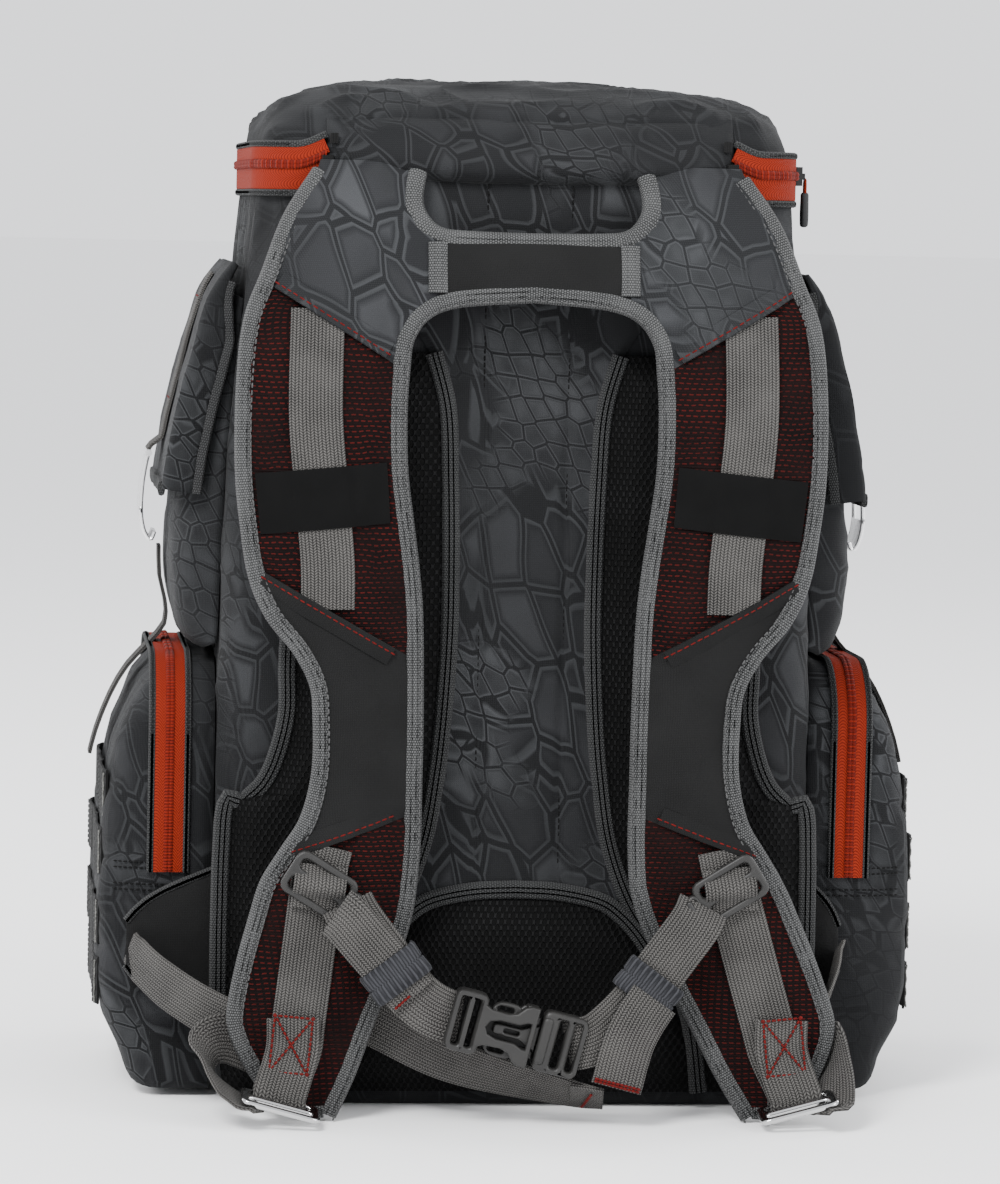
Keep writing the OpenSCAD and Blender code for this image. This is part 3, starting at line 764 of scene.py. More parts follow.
def harness_bindings(looks):
    """Grey tape folded round every edge of the harness, with a row of stitches in it."""
    shape = Shape()
    for side in (-1, 1):
        outer = on_harness(every(STRAP_OUTER[STRAP_OUTER[:, 1] < 442.5], 4)[:-1], 0, side)
        across = in_plane(outer, side)
        bind_and_stitch(shape, outer, across)
        foot = on_harness(spread([(112, 5), (105, 3.4), (98, 4)], 6), 0, side) + UP
        edge_binding(shape, foot, UP, 7)
        z = np.linspace(386, 409, 8)
        edge_binding(shape, columns(side * NECK_SIDE, harness_y(z) - 0.3, z), (1, 0, 0), 10.5, 7.6)
    inner = whole_harness_line(every(np.vstack([STRAP_INNER[::-1], NECK_ARCH[1:]]), 4))
    bind_and_stitch(shape, inner, sideways(inner))
    opening = whole_harness_line(every(HAND_OPENING, 3))
    edge_binding(shape, opening, sideways(opening), 9.6)
    return shape.build("harness_binding", [looks["binding"]])


def neck_panel(looks):
    """The black grab handle between the two halves of the yoke."""
    shape = Shape()
    xs = np.linspace(-NECK_SIDE, NECK_SIDE, 31)
    low = np.interp(np.abs(xs), NECK_ARCH[::-1, 0], NECK_ARCH[::-1, 1]) + 1
    for kind, way in ((0, -1), (1, 1)):
        rows = []
        for t in np.linspace(0, 1, 9):
            z = low + (411 - low) * t
            out = 2.4 + 1.2 * np.sin(math.pi * t) + 0.5 * np.cos(xs * 0.05)
            rows.append(columns(xs, harness_y(z) + way * out, z))
        shape.grid(rows, kind)
    return shape.build("grab_handle", [looks["black"], looks["mesh"]])


def seam_hem(shape, side, seam, way, kind, web, thick=1.5):
    """The turned edge of the upper cloth along a slanting seam, with red stitches in it."""
    line = spread(seam, 40)
    normal = np.array([-(seam[0][1] - seam[1][1]), seam[0][0] - seam[1][0]], float)
    normal *= way / np.linalg.norm(normal)
    rows = []
    for place in line:
        if not inner_x(place[1]) + 5.5 < place[0] < outer_x(place[1]) - 5.5:
            continue
        row = []
        for off, out in ((0.4, -0.4), (0.0, 0.5), (0.5, 1.0), (2.5, 1.0), (5.0, 0.75), (8.5, 0.07)):
            x, z = place + normal * off
            lift = out * thick + pad_height(min(outer_x(z) - x, x - inner_x(z)))
            lift += over_web(x, z, web) * (1 - off / 9)
            row.append(on_harness([(x, z)], lift, side)[0])
        rows.append(row)
    shape.grid(rows, kind)
    middle = [row[3] for row in rows]
    stitch("harness", "red_thread", middle, AHEAD, 3.6, 2.6, 0.32)


def harness_webs(looks):
    """The grey webbing on the straps; the lower web folds round the ladder buckle's first bar."""
    for name, side in SIDES:
        line = every(UPPER_WEB, 4)
        path = on_harness(line, face_height(line[:, 0], line[:, 1]) + WEB_THICK / 2 + 0.2, side)
        path[:, 1] = np.minimum(path[:, 1], harness_y(line[:, 1]) - 6.4)
        upper = tape_piece("upper_web_" + name, path, in_plane(path, 1), WEB_WIDTH, WEB_THICK,
                           looks["webbing"])
        cut(upper, SEAMS[0], side, above=True)
        cut(upper, SEAMS[1], side, above=False)
        line = every(LOWER_WEB, 4)
        line = line[line[:, 1] > 26]
        flat = on_harness(line, 6.9, side)
        ladder = np.mean(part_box("ladder_buckle_" + name), axis=0) / MM
        loop = [(-141.2, 17), (-142.4, 10.5), (-145.2, 8.4), (-148.3, 9.6), (-149, 13.5), (-147, 19),
                (-144.6, 27), (-143.5, 37), (-143.3, 50)]
        bottom = flat[-1]
        turned = [(ladder[0] + (bottom[0] - ladder[0]) * min(1, max(0, (z - 14) / 20)), y, z)
                  for y, z in loop]
        path = curve(np.vstack([flat[::3], turned]), 4)
        across = np.array([0.96, 0, side * 0.26])
        lower = tape_piece("lower_web_" + name, path, across, WEB_WIDTH, WEB_THICK,
                           looks["webbing"], 2.0)
        cut(lower, SEAMS[2], side, above=True)
        box_stitch(turned[-3], turned[-1], unit(across))
        for web in (upper, lower):
            fix(web, "harness", ["shoulder_webs"])


def box_stitch(low, high, across):
    """A red box with a cross in it, through both layers of the folded web."""
    low, high = np.array(low), np.array(high)
    up = unit(high - low)
    wide = across - up * np.dot(across, up)
    out = unit(np.cross(wide, up))
    out *= -np.sign(out[1])
    middle = (low + high) / 2 + out * 1.1 - [0, 0, 1]
    corner = {(a, b): middle + wide * a * 9 + up * b * 13 for a in (-1, 1) for b in (-1, 1)}
    for a, b in (((-1, -1), (1, -1)), ((1, -1), (1, 1)), ((1, 1), (-1, 1)), ((-1, 1), (-1, -1)),
                 ((-1, -1), (1, 1)), ((-1, 1), (1, -1))):
        stitch("harness", "red_thread", [corner[a], corner[b]], out, 2.4, 2.0, 0.45)


def strap_patches(looks):
    """Blank rubber badges that lie over the webbing from binding to binding."""
    shape = Shape()
    (ax, az), (bx, bz), (cx, cz), (dx, dz) = PATCH
    for side in (-1, 1):
        layers = []
        for lift in (1.5, 0.1):
            rows = []
            for t in np.linspace(0, 1, 9):
                s = np.linspace(0, 1, 31)
                x = (ax + (bx - ax) * t) * (1 - s) + (cx + (dx - cx) * t) * s
                z = (az + (bz - az) * t) * (1 - s) + (cz + (dz - cz) * t) * s
                edge = 0.5 * np.exp(-min(t, 1 - t) * 30)
                out = face_height(x, z) + over_web(x, z, UPPER_WEB) + lift - (edge if lift > 1 else 0)
                rows.append(on_harness(columns(x, z), out, side))
            layers.append(rows)
        top, under = layers
        shape.grid(top)
        shape.grid([top[0], under[0]])
        shape.grid([top[-1], under[-1]])
    return shape.build("strap_badges", [looks["rubber"]], sharp=35)


def make_harness(looks):
    for name, side in SIDES:
        strap = strap_side(side, looks)
        fix(strap, "harness", ["shoulder_strap_" + name])
    hems = Shape()
    for side in (-1, 1):
        seam_hem(hems, side, SEAMS[0], 1, 0, UPPER_WEB)
        seam_hem(hems, side, SEAMS[1], -1, 1, UPPER_WEB)
        seam_hem(hems, side, SEAMS[2], 1, 1, LOWER_WEB, 0.5)
    fix(hems.build("seam_hems", [looks["camo_light"], looks["black"]]), "harness",
        ["yoke", "strap_panels"])
    fix(harness_bindings(looks), "harness")
    handle = fix(neck_panel(looks), "harness", ["haul_handle"])
    harness_webs(looks)
    fix(strap_patches(looks), "harness", ["strap_patches"])


# ---- bag ------------------------------------------------------------------------------------

BAG_WIDTHS = ((0, 136), (20, 142), (200, 142), (300, 139), (396, 131), (444, 127), (500, 126))
HALF_DEPTH = 95.0
RIM_Z = 444.0
TONGUE_HALF = 92.0


def bag_half_at(z):
    heights, widths = zip(*BAG_WIDTHS)
    return np.interp(z, heights, widths)


def round_rect(half_x, half_y, radius, count=200):
    """A rectangle with round corners, from the middle of its rear side and on towards +x."""
    corners = ((half_x - radius, -half_y + radius, -90), (half_x - radius, half_y - radius, 0),
               (-half_x + radius, half_y - radius, 90), (-half_x + radius, -half_y + radius, 180))
    line = [(0, -half_y)]
    for x, y, start in corners:
        for a in np.radians(np.linspace(start, start + 90, 9)):
            line.append((x + radius * math.cos(a), y + radius * math.sin(a)))
    return spread(line + [(0, -half_y)], count + 1)


def creases(place, size, seed):
    """Smooth swells with a few sharp folds in them, about -1 to 1."""
    p = Vector(place) / size + Vector((seed, 2.3 * seed, 0.7 * seed))
    swell = noise.noise(p)
    fold = (1 - abs(noise.noise(p * 1.7))) ** 5
    return 0.7 * swell + 0.9 * fold - 0.25


def wrinkled(rows, amount, size, seed, stretch=(1.0, 1.0, 1.0)):
    """Moves a grid of points along its own normals; amount may be a number or one for each point."""
    rows = np.array(rows, float)
    normal = unit(np.cross(np.gradient(rows, axis=1), np.gradient(rows, axis=0)))
    level = np.array([[creases(p * stretch, size, seed) for p in row] for row in rows])
    return rows + normal * (level * amount)[..., None]


def thicken(piece, depth):
    """Gives an open skin this much thickness inwards, with the second look on the inside."""
    middle = Vector((0, 0, 0.2))
    facing_out = sum(f.area * f.normal.dot(f.center - middle) for f in piece.data.polygons)
    if facing_out < 0:
        piece.data.flip_normals()
    solid = piece.modifiers.new("thickness", "SOLIDIFY")
    solid.thickness = depth * MM
    solid.offset = -1
    solid.material_offset = solid.material_offset_rim = 1
    graph = bpy.context.evaluated_depsgraph_get()
    old = piece.data
    piece.data = bpy.data.meshes.new_from_object(piece.evaluated_get(graph))
    piece.modifiers.clear()
    bpy.data.meshes.remove(old)
    return piece


def bag_body(looks):
    """The tall body: an outer skin that sags and folds, a rim, and a lining."""
    shape = Shape()
    heights = np.concatenate([[0.6, 1.5, 3.5, 7], np.linspace(12, RIM_Z, 108)])
    rows, inside = [], []
    for z in heights:
        low = 5 * (1 - min(1, z / 7)) ** 2
        radius = np.interp(z, (0, 396, 420), (24, 24, 27))
        ring = round_rect(bag_half_at(z) - low, HALF_DEPTH - low, radius)
        rows.append(columns(*ring.T, z))
        ring = round_rect(bag_half_at(z) - 3, HALF_DEPTH - 3, radius - 3)
        inside.append(columns(*ring.T, max(z, 3.5)))
    rows = np.array(rows)
    calm = np.clip((RIM_Z - 6 - heights) / 40, 0, 1) * np.clip(heights / 30, 0, 1)
    rows = wrinkled(rows, calm[:, None] * 1.5, 60, 3.0)
    side = np.clip((np.abs(rows[..., 0]) - 100) / 20, 0, 1)
    neck = np.exp(-((rows[..., 2] - 415) / 26) ** 2)
    pleat = np.sin(rows[..., 1] * 0.34 + 0.05 * rows[..., 2]) * neck * side * 1.6
    rows[..., 0] += np.sign(rows[..., 0]) * (pleat - neck * side * 1.2)
    shape.grid(rows)
    shape.cap(rows[0][:-1])
    shape.grid([rows[-1], inside[-1]], 1)
    shape.grid(inside[::-1], 1)
    shape.cap(inside[0][:-1], 1)
    return shape.build("bag_body", [looks["camo"], looks["lining"]])


def spine(looks):
    """Quilted panel down the middle of the back, behind the straps and up to the lid."""
    shape = Shape()
    rows = []
    for z in np.linspace(100, 447, 90):
        half = float(np.interp(z, (100, 130, 190, 300, 358, 380, 447), (58, 46, 38, 37, 46, 60, 88)))
        x = np.linspace(-half, half, 41)
        out = 4.6 - 1.6 * np.exp(-((np.abs(x) - 20) / 2.2) ** 2) * (z < 440)
        out = out - 3.4 * smooth_step((np.abs(x) / half - 0.9) / 0.1)
        out = out * float(smooth_step((447 - z) / 25)) + 0.8
        rows.append(columns(x, -HALF_DEPTH - out, z))
    shape.grid(wrinkled(rows, 0.9, 34, 5.0, (1.0, 1.0, 0.6)))
    for x in (-20, 20):
        line = [(x, -HALF_DEPTH - 3.7, z) for z in np.linspace(112, 436, 60)]
        stitch("pack", "black_thread", line, AHEAD, 3.2, 2.4, 0.35)
    return shape.build("spine_panel", [looks["camo"]])


SPINE_EDGE = curve([(44, 358), (37, 332), (35, 299), (34, 262), (34, 226), (36, 187), (39, 157),
                    (44, 127), (54, 100), (68, 78), (84, 46), (90, 8)])
PAD_EDGE = curve([(68, 358), (92, 320), (106, 270), (110, 215), (110, 186), (118, 158), (130, 145),
                  (139, 138), (139, 24), (131, 8)], 4)
LUMBAR_EDGE = curve([(72, 62), (60, 82), (49, 94), (39, 100), (20, 104), (0, 105)])


def back_pad(side, looks):
    """Thick mesh pad at one side of the spine."""
    shape = Shape()
    rows = []
    for z in np.linspace(358, 8, 110):
        low = np.interp(z, SPINE_EDGE[::-1, 1], SPINE_EDGE[::-1, 0])
        high = np.interp(z, PAD_EDGE[::-1, 1], PAD_EDGE[::-1, 0])
        x = low + (high - low) * (1 - np.cos(np.linspace(0, math.pi, 21))) / 2
        edge = np.minimum(np.minimum(x - low, high - x), min(358 - z, z - 8))
        out = 4 + 9.5 * smooth_step(edge / 17)
        rows.append(columns(side * x, -HALF_DEPTH - out, z))
    rows = wrinkled(rows, 0.9, 55, 7.0 + side)
    shape.grid(rows)
    wall = np.array(rows)
    wall[..., 1] = -HALF_DEPTH
    for a, b in ((rows[:, 0], wall[:, 0]), (rows[:, -1], wall[:, -1]), (rows[0], wall[0]),
                 (rows[-1], wall[-1])):
        shape.grid([a, b])
    return shape.build("back_pad_" + NAME_OF[side], [looks["mesh"]], merge=0.2)


def pad_bindings(looks):
    shape = Shape()

    def bind(line, out):
        path = columns(line[:, 0], -HALF_DEPTH - out, line[:, 1])
        edge_binding(shape, path, sideways(path), 8.6, 5)

    for side in (-1, 1):
        for line in (SPINE_EDGE, PAD_EDGE[:-4]):
            bind(every(line, 4) * [side, 1], 5.0)
    half = every(LUMBAR_EDGE, 4)
    bind(np.vstack([half * [-1, 1], half[::-1][1:]]), 6.5)
    return shape.build("pad_bindings", [looks["dark_binding"]])


def lumbar(looks):
    """Mesh pad at the foot of the spine, under an arch that slopes away at its ends."""
    shape = Shape()
    rows = []
    end_x, end_z = LUMBAR_EDGE[0]
    for x in np.linspace(-85, 85, 61):
        top = np.interp(abs(x), LUMBAR_EDGE[::-1, 0], LUMBAR_EDGE[::-1, 1])
        if abs(x) >= end_x:
            top = end_z - (abs(x) - end_x) * 2.6
        z = np.linspace(8, top, 25)
        edge = np.minimum(np.minimum(z - 8, top - z), 86 - abs(x))
        out = 5 + 10 * smooth_step(edge / 18)
        rows.append(columns(x, -HALF_DEPTH - out, z))
    shape.grid(rows)
    return shape.build("lumbar_pad", [looks["mesh"]])


# ---- lid ------------------------------------------------------------------------------------

LID_SIDE = curve([(126, 445), (125.5, 454), (123, 463), (116, 472), (102, 479), (80, 483), (50, 485.5)])
LID_FORE = curve([(94, 445), (93.5, 454), (90, 464), (82, 473), (68, 480), (50, 484), (28, 485.5)])


def lid_rows():
    rows = []
    for (x, z_side), (y, z_fore) in zip(LID_SIDE, LID_FORE):
        ring = round_rect(x, y, min(28, y - 3), 200)
        sidewards, forwards = (ring[:, 0] / x) ** 2, (ring[:, 1] / y) ** 2
        share = sidewards / (sidewards + forwards)
        rows.append(np.column_stack([ring, z_side * share + z_fore * (1 - share)]))
    last = rows[-1]
    for scale in (0.8, 0.6, 0.4, 0.2, 0.03):
        ring = last * [scale, scale, 1]
        ring[:, 2] = 485.5 + 0.8 * (1 - scale)
        rows.append(ring)
    return np.array(rows)


def make_lid(looks):
    rows = lid_rows()
    calm = np.clip((rows[..., 2] - 450) / 16, 0, 1)
    rows = wrinkled(rows, calm * 3.0, 44, 11.0, (0.8, 1.0, 1.4))
    rear = (rows[..., 1] < -70) & (rows[..., 2] > 462)
    ridge = np.exp(-((rows[..., 2] - 470) / 3.5) ** 2)
    rows[..., 1] -= rear * ridge * 1.6
    shape = Shape()
    shape.grid(rows)
    skin = thicken(shape.build("lid", [looks["camo"], looks["lining"]]), 2.5)
    fix(skin, "lid", ["lid_shell"])
    lid_tongue(looks)
    lid_zip(looks)


def lid_tongue(looks):
    """The roll of cloth that the lid folds on, from the bag's rear edge up to the lid."""
    shape = Shape()
    rows = []
    for z, out in ((439, 1.6), (441, 6), (443.5, 9.4), (447, 11), (451, 10.4), (455, 8), (459, 5.2),
                   (463, 3.4), (467, 0), (471, -7)):
        x = np.linspace(-TONGUE_HALF - 4, TONGUE_HALF + 4, 61)
        droop = 3.0 * (1 - (x / 96) ** 2) - 1.0
        wave = 0.7 * np.sin(x * 0.09 + z * 0.15) + 0.4 * np.sin(x * 0.21)
        lid_depth = np.interp(z, LID_FORE[:, 1], LID_FORE[:, 0])
        soft = 1 - np.abs(x / 96.5) ** 8
        y = -lid_depth - 0.8 - out * soft - wave * 0.5 * (z < 460)
        rows.append(columns(x, y, z - droop * (z < 460)))
    shape.grid(spread_rows(rows, 24))
    tongue = thicken(shape.build("lid_hinge_cloth", [looks["camo"], looks["lining"]]), 1.2)
    bend(tongue, "pack", "lid", (0, -0.0955, 0.449), (0, -0.0955, 0.459), "camo_fabric")


def spread_rows(rows, count):
    """More rows between the given ones, on smooth lines."""
    rows = np.array(rows, float)
    return np.stack([spread(curve(rows[:, j], 6), count) for j in range(rows.shape[1])], 1)


def zip_coil(path, across, radius=1.0):
    """Points for a zip's coil: a cord with a tooth at every step."""
    path = every(path, 0.85)
    side = unit(np.broadcast_to(np.array(across, float), path.shape))
    normal = unit(np.cross(np.gradient(path, axis=0), side))
    size = radius * (1 + 0.28 * (np.arange(len(path)) % 2))
    angles = np.linspace(0, 2 * math.pi, 8)
    return np.stack([path + (side * math.cos(a) * 1.1 + normal * math.sin(a)) * size[:, None]
                     for a in angles], 1)


def lid_zip(looks):
    """Two orange tapes with a coil each, round the neck from one end of the tongue to the other."""
    ring = round_rect(129.2, HALF_DEPTH + 1.2, 27, 400)
    keep = (ring[:, 1] > -HALF_DEPTH) | (np.abs(ring[:, 0]) > TONGUE_HALF + 3)
    start = int(np.argmax(keep))
    line = ring[start:len(ring) - start]
    rise = 6.5 * smooth_step((110 - np.abs(line[:, 0])) / 20) * (line[:, 1] < 0)
    outwards = unit(np.cross(np.gradient(columns(*line.T, rise), axis=0), UP))
    for body, name, node, low, high, coil, far in (
            ("pack", "bag_zip_tape", "zip_tapes", 432.5, 443.8, 443.6, 431.1),
            ("lid", "lid_zip_tape", "lid_zip_tape", 445, 452.6, 445.2, 453.8)):
        shape = Shape()
        middle = every(columns(*line.T, (low + high) / 2 + rise), 3)
        band(shape, middle, UP, tape_section(high - low, 1.5, 0.6))
        shape.grid(zip_coil(columns(*line.T, coil + rise) + outwards, UP), 1)
        fix(shape.build(name, [looks["tape"], looks["coil"]]), body, [node])
        rim = Shape()
        edge = columns(*line.T, far + rise)
        band(rim, every(edge, 3), UP, tape_section(3.4, 2.6, 1.2))
        turned_in = every(edge - outwards * 2.2, 3)
        band(rim, turned_in, spread(outwards, len(turned_in)), tape_section(5.0, 1.0))
        fix(rim.build(name + "_edge", [looks["dark_binding"]]), body)
    for name, side in SIDES:
        for body, low, high, at, width in (("pack", 438, 449, 3.5, 5.5),
                                           ("lid", 454.6, 459.4, 0.8, 4.0)):
            end = Shape()
            path = columns(side * (TONGUE_HALF + at), -HALF_DEPTH - 3.4, np.linspace(low, high, 6))
            band(end, path, (1, 0, 0), tape_section(width, 2.4, 1.0))
            piece = end.build("zip_end_{}_{}".format(body, name), [looks["black"]])
            fix(piece, body)


# ---- clamshell pockets ----------------------------------------------------------------------
# A pocket is drawn with x outwards from the wall it sits on, y along the wall and z up.

SIDE_PROFILE = np.array([(38, 3), (42, 19), (51, 37), (54, 55), (55, 92), (53, 134), (47, 169),
                         (37, 195), (27, 207), (26, 210)], float)
FRONT_PROFILE = np.array([(40, 3), (46, 20), (52, 44), (55, 92), (54, 190), (49, 232), (38, 258),
                          (27, 269), (26, 274)], float)
ZIP_REACH, HEM_Z, HINGE_LOW = 21.2, 106.5, 96.0
POCKETS = {"left": (SIDE_PROFILE, 75.0, 210.0), "right": (SIDE_PROFILE, 75.0, 210.0),
           "front": (FRONT_PROFILE, 112.0, 274.0)}


def placed(points, face):
    """From a pocket's own directions to the bag's."""
    p = np.array(points, float)
    if face == "front":
        return np.stack([-p[..., 1], HALF_DEPTH + 0.4 + p[..., 0], p[..., 2]], -1)
    side = -1 if face == "left" else 1
    return np.stack([side * (142.4 + p[..., 0]), p[..., 1], p[..., 2]], -1)


def turned(direction, face):
    return placed(np.array(direction, float), face) - placed(np.zeros(3), face)


def arch_outline(half, top, inset, count=132, radius=30.0):
    """An arch with round top corners and small ones at the foot, from the middle of its foot."""
    half, top, foot = half - inset, top - inset, 3 + 0.5 * inset
    r = max(radius - inset, 6)
    line = [(0, foot), (half - 5, foot), (half - 1.4, foot + 1.4), (half, foot + 5)]
    line += [(half - r + r * math.cos(a), top - r + r * math.sin(a))
             for a in np.radians(np.arange(0, 91, 9))]
    return spread(line + [(-y, z) for y, z in reversed(line)], count + 1)


def pocket_rows(face):
    profile, half, top = POCKETS[face]
    rows = []
    reach = [(x, 0.0, None) for x in (0.0, 7.0, 14.0, ZIP_REACH)]
    reach += [(None, inset, f) for f, inset in ((0.2, 0.2), (0.4, 0.9), (0.58, 2.2), (0.74, 4.4),
                                                (0.87, 8), (0.95, 13), (0.99, 20), (1, 30))]
    reach += [(None, inset, 1.0) for inset in np.linspace(40, half - 3, 7)]
    for x, inset, share in reach:
        ring = arch_outline(half, top, inset)
        deep = np.interp(ring[:, 1], profile[:, 1], profile[:, 0])
        out = np.full(len(ring), x) if x is not None else ZIP_REACH + share * (deep - ZIP_REACH)
        rows.append(np.column_stack([out, ring]))
    rows.append(rows[-1] * [1, 0, 1])
    return np.array(rows)


def pocket_skin(face, looks):
    rows = pocket_rows(face)
    calm = np.clip((rows[..., 0] - ZIP_REACH - 2) / 14, 0, 1) * np.clip((rows[..., 2] - 8) / 20, 0, 1)
    bulge = calm * np.clip(rows[..., 2] / 60, 0, 1)
    seed = {"left": 21.0, "right": 23.0, "front": 25.0}[face]
    rows = wrinkled(rows, -bulge * 1.9, 42, seed)
    shape = Shape()
    shape.grid(placed(rows, face))
    whole = shape.build("pocket_" + face, [looks["camo"], looks["lining"]], merge=0.05)
    return thicken(whole, 2.0)


def part_of(whole, name, planes, keep):
    """A copy of a mesh, cut along the planes, with only the faces whose middle keep() accepts."""
    piece = whole.copy()
    piece.data = whole.data.copy()
    piece.name = name
    bpy.context.collection.objects.link(piece)
    with editing(piece.data) as bm:
        for place, normal in planes:
            cut_through(bm, place, normal)
        lost = [f for f in bm.faces if not keep(f.calc_center_median() / MM)]
        bmesh.ops.delete(bm, geom=lost, context="FACES")
    return piece


def pocket_parts(face, looks):
    """The pocket's fixed share, its door, and the strip of cloth that the door folds on."""
    whole = pocket_skin(face, looks)
    axis = turned((1, 0, 0), face)
    base = placed((0, 0, 0), face)
    planes = [(base + axis * ZIP_REACH, axis), (base + axis * 50, axis),
              ((0, 0, HEM_Z), UP), ((0, 0, HINGE_LOW), UP)]

    def zone(p):
        out = (np.array(p) - base) @ axis
        if p[2] > HEM_Z and out > ZIP_REACH:
            return "door"
        return "hinge" if out > 50 and p[2] > HINGE_LOW else "fixed"

    parts = {k: part_of(whole, "pocket_{}_{}".format(face, k), planes, lambda p, k=k: zone(p) == k)
             for k in ("fixed", "door", "hinge")}
    bpy.data.objects.remove(whole)
    return parts


def zip_line(face, x, out):
    """The pocket's zip line at this reach from the wall, from one end over the top to the other."""
    _, half, top = POCKETS[face]
    ring = arch_outline(half + out, top + out, 0, 400, 30.0 + out)
    ring = ring[ring[:, 1] > HEM_Z + 1.5]
    return placed(columns(x, *ring.T), face)


def pocket_zip(face, looks, door):
    """A tape with a coil and a bound edge on each side of the pocket's zip."""
    across = turned((1, 0, 0), face)
    door_node = "front_zip_tape" if face == "front" else "door_zip_tape_" + face
    for body, node, way in (("pack", (), -1), (door, (door_node,), 1)):
        shape = Shape()
        band(shape, every(zip_line(face, ZIP_REACH + way * 3.9, 1.2), 3), across,
             tape_section(6.6, 1.5, 0.6))
        shape.grid(zip_coil(zip_line(face, ZIP_REACH + way * 0.9, 2.0), across, 0.95), 1)
        name = "{}_zip_{}".format(face, "bag" if way < 0 else "door")
        fix(shape.build(name, [looks["tape"], looks["coil"]]), body, node)
        edge = Shape()
        band(edge, every(zip_line(face, ZIP_REACH + way * 8.4, 1.0), 3), across,
             tape_section(3.6, 3.0, 1.3))
        fix(edge.build(name + "_edge", [looks["dark_binding"]]), body)


def pocket_hem(face, door):
    """Double-stitched hem where the zip ends, on the door's and the pocket's side of the gap."""
    _, half, _ = POCKETS[face]
    for side in (-1, 1):
        for body, z, start in (("pack", HEM_Z - 5.5, 12), (door, HEM_Z + 5, ZIP_REACH + 10)):
            reach = np.linspace(start, 46, 14)
            deep = (reach - ZIP_REACH) / 32
            inset = np.interp(deep, (0, 0.2, 0.4, 0.58, 0.74, 0.87), (0, 0.2, 0.9, 2.2, 4.4, 8))
            line = columns(reach, side * (half - inset + 1.0), z)
            for off in (-1.4, 1.4):
                stitch(body, "black_thread", placed(line + [0, 0, off], face),
                       turned((0.1, side, 0), face), 2.8, 2.0, 0.32)


def surface_finder(pieces):
    """A function that gives the place and normal where a ray in millimetres meets the pieces."""
    trees = []
    for piece in pieces:
        with editing(piece.data) as bm:
            trees.append(BVHTree.FromBMesh(bm))

    def hit(start, way):
        found = [tree.ray_cast(Vector(start) * MM, Vector(way)) for tree in trees]
        found = [f for f in found if f[0] is not None]
        if not found:
            return None
        place, normal, _, _ = min(found, key=lambda f: f[3])
        return np.array(place) / MM, np.array(normal)
    return hit


def load_webbing(face, looks, parts):
    """Bands of webbing across the pocket, sewn down at steps and at their ends."""
    hit = surface_finder([parts["fixed"], parts["door"], parts["hinge"]])
    outwards = turned((1, 0, 0), face)
    for z, body in ((53.5, "pack"), (82.5, "pack"), (116, "door_" + face), (143.5, "door_" + face)):
        path = []
        for y in np.linspace(-60, 60, 41):
            found = hit(placed((90, y, z), face), -outwards)
            lift = (0.8 + 0.3 * math.sin(math.pi * (y + 60) / 40) ** 2) * min(1.0, (62 - abs(y)) / 8)
            path.append(found[0] + outwards * lift)
        path = np.array(path)
        name = "load_band_{}_{:.0f}".format(face, z)
        node = "molle_webbing" if body == "pack" else "door_molle_" + face
        web = tape_piece(name, path, UP, 23, 1.3, looks["black"])
        fix(web, body, [node])
        for i in (1, -2):
            zigzag = [path[i] + outwards * 0.9 + [0, t % 2 * 3 - 1.5, 3.2 * t - 10] for t in range(7)]
            stitch(body, "pale_thread", zigzag, outwards, 2.0, 2.1, 0.5)
        for y in (-54, -27, 0, 27, 54):
            at = path[int(round((y + 60) / 3))]
            row = [at + outwards * 0.9 + [0, 0, t] for t in np.linspace(-10, 10, 8)]
            stitch(body, "grey_thread", row, outwards, 2.4, 2.1, 0.38)


def make_clamshells(looks):
    for face in ("left", "right", "front"):
        door = "front_door" if face == "front" else "door_" + face
        parts = pocket_parts(face, looks)
        pocket = "front_pocket" if face == "front" else "side_pocket_" + face
        node = "front_door" if face == "front" else "side_door_" + face
        if face != "front":
            load_webbing(face, looks, parts)
        fix(parts["fixed"], "pack", [pocket])
        fix(parts["door"], door, [node])
        edge = placed((54, 0, 0), face) * MM
        bend(parts["hinge"], "pack", door, (edge[0], edge[1], 0.0965), (edge[0], edge[1], 0.1055),
             "camo_fabric")
        pocket_zip(face, looks, door)
        pocket_hem(face, door)


# ---- cargo pockets --------------------------------------------------------------------------

CARGO_HALF, CARGO_MIDDLE, FLAP_HALF = 68.0, 300.0, 72.0
CARGO_FACE = curve([(141, 384), (147, 366), (152, 344), (159.5, 312), (162, 290), (164.5, 270),
                    (164.5, 246), (159, 221), (150, 214)])
FLAP_LINE = curve([(135.4, 398), (138, 395), (146, 381), (156, 344), (163, 312), (166, 290)])
TAIL_LINE = curve([(168, 259), (167.4, 244), (164.5, 232), (164.6, 221), (172, 211.5), (182.5, 200),
                   (190.5, 186), (197, 169), (200, 157)], 2)


def cargo_skin(side, looks):
    """A bellows pocket that swells from the bag's side, open under its flap."""
    face = every(CARGO_FACE, 4)
    rows = []
    for y in CARGO_HALF * np.sin(np.linspace(-math.pi / 2, math.pi / 2, 41)):
        edge = 1 - abs(y) / CARGO_HALF
        full = min(1.0, (1 - (1 - edge) ** 7)) ** 0.5
        wall = bag_half_at(face[:, 1]) + 0.3
        x = wall + (face[:, 0] - wall) * full
        z = CARGO_MIDDLE + (face[:, 1] - CARGO_MIDDLE) * (0.96 + 0.04 * full)
        rows.append(columns(side * x, y, z))
    rows = wrinkled(rows, 1.3, 40, 31.0 + side)
    shape = Shape()
    shape.grid(rows)
    return thicken(shape.build("cargo_pocket_" + NAME_OF[side], [looks["camo"], looks["lining"]]), 1.8)


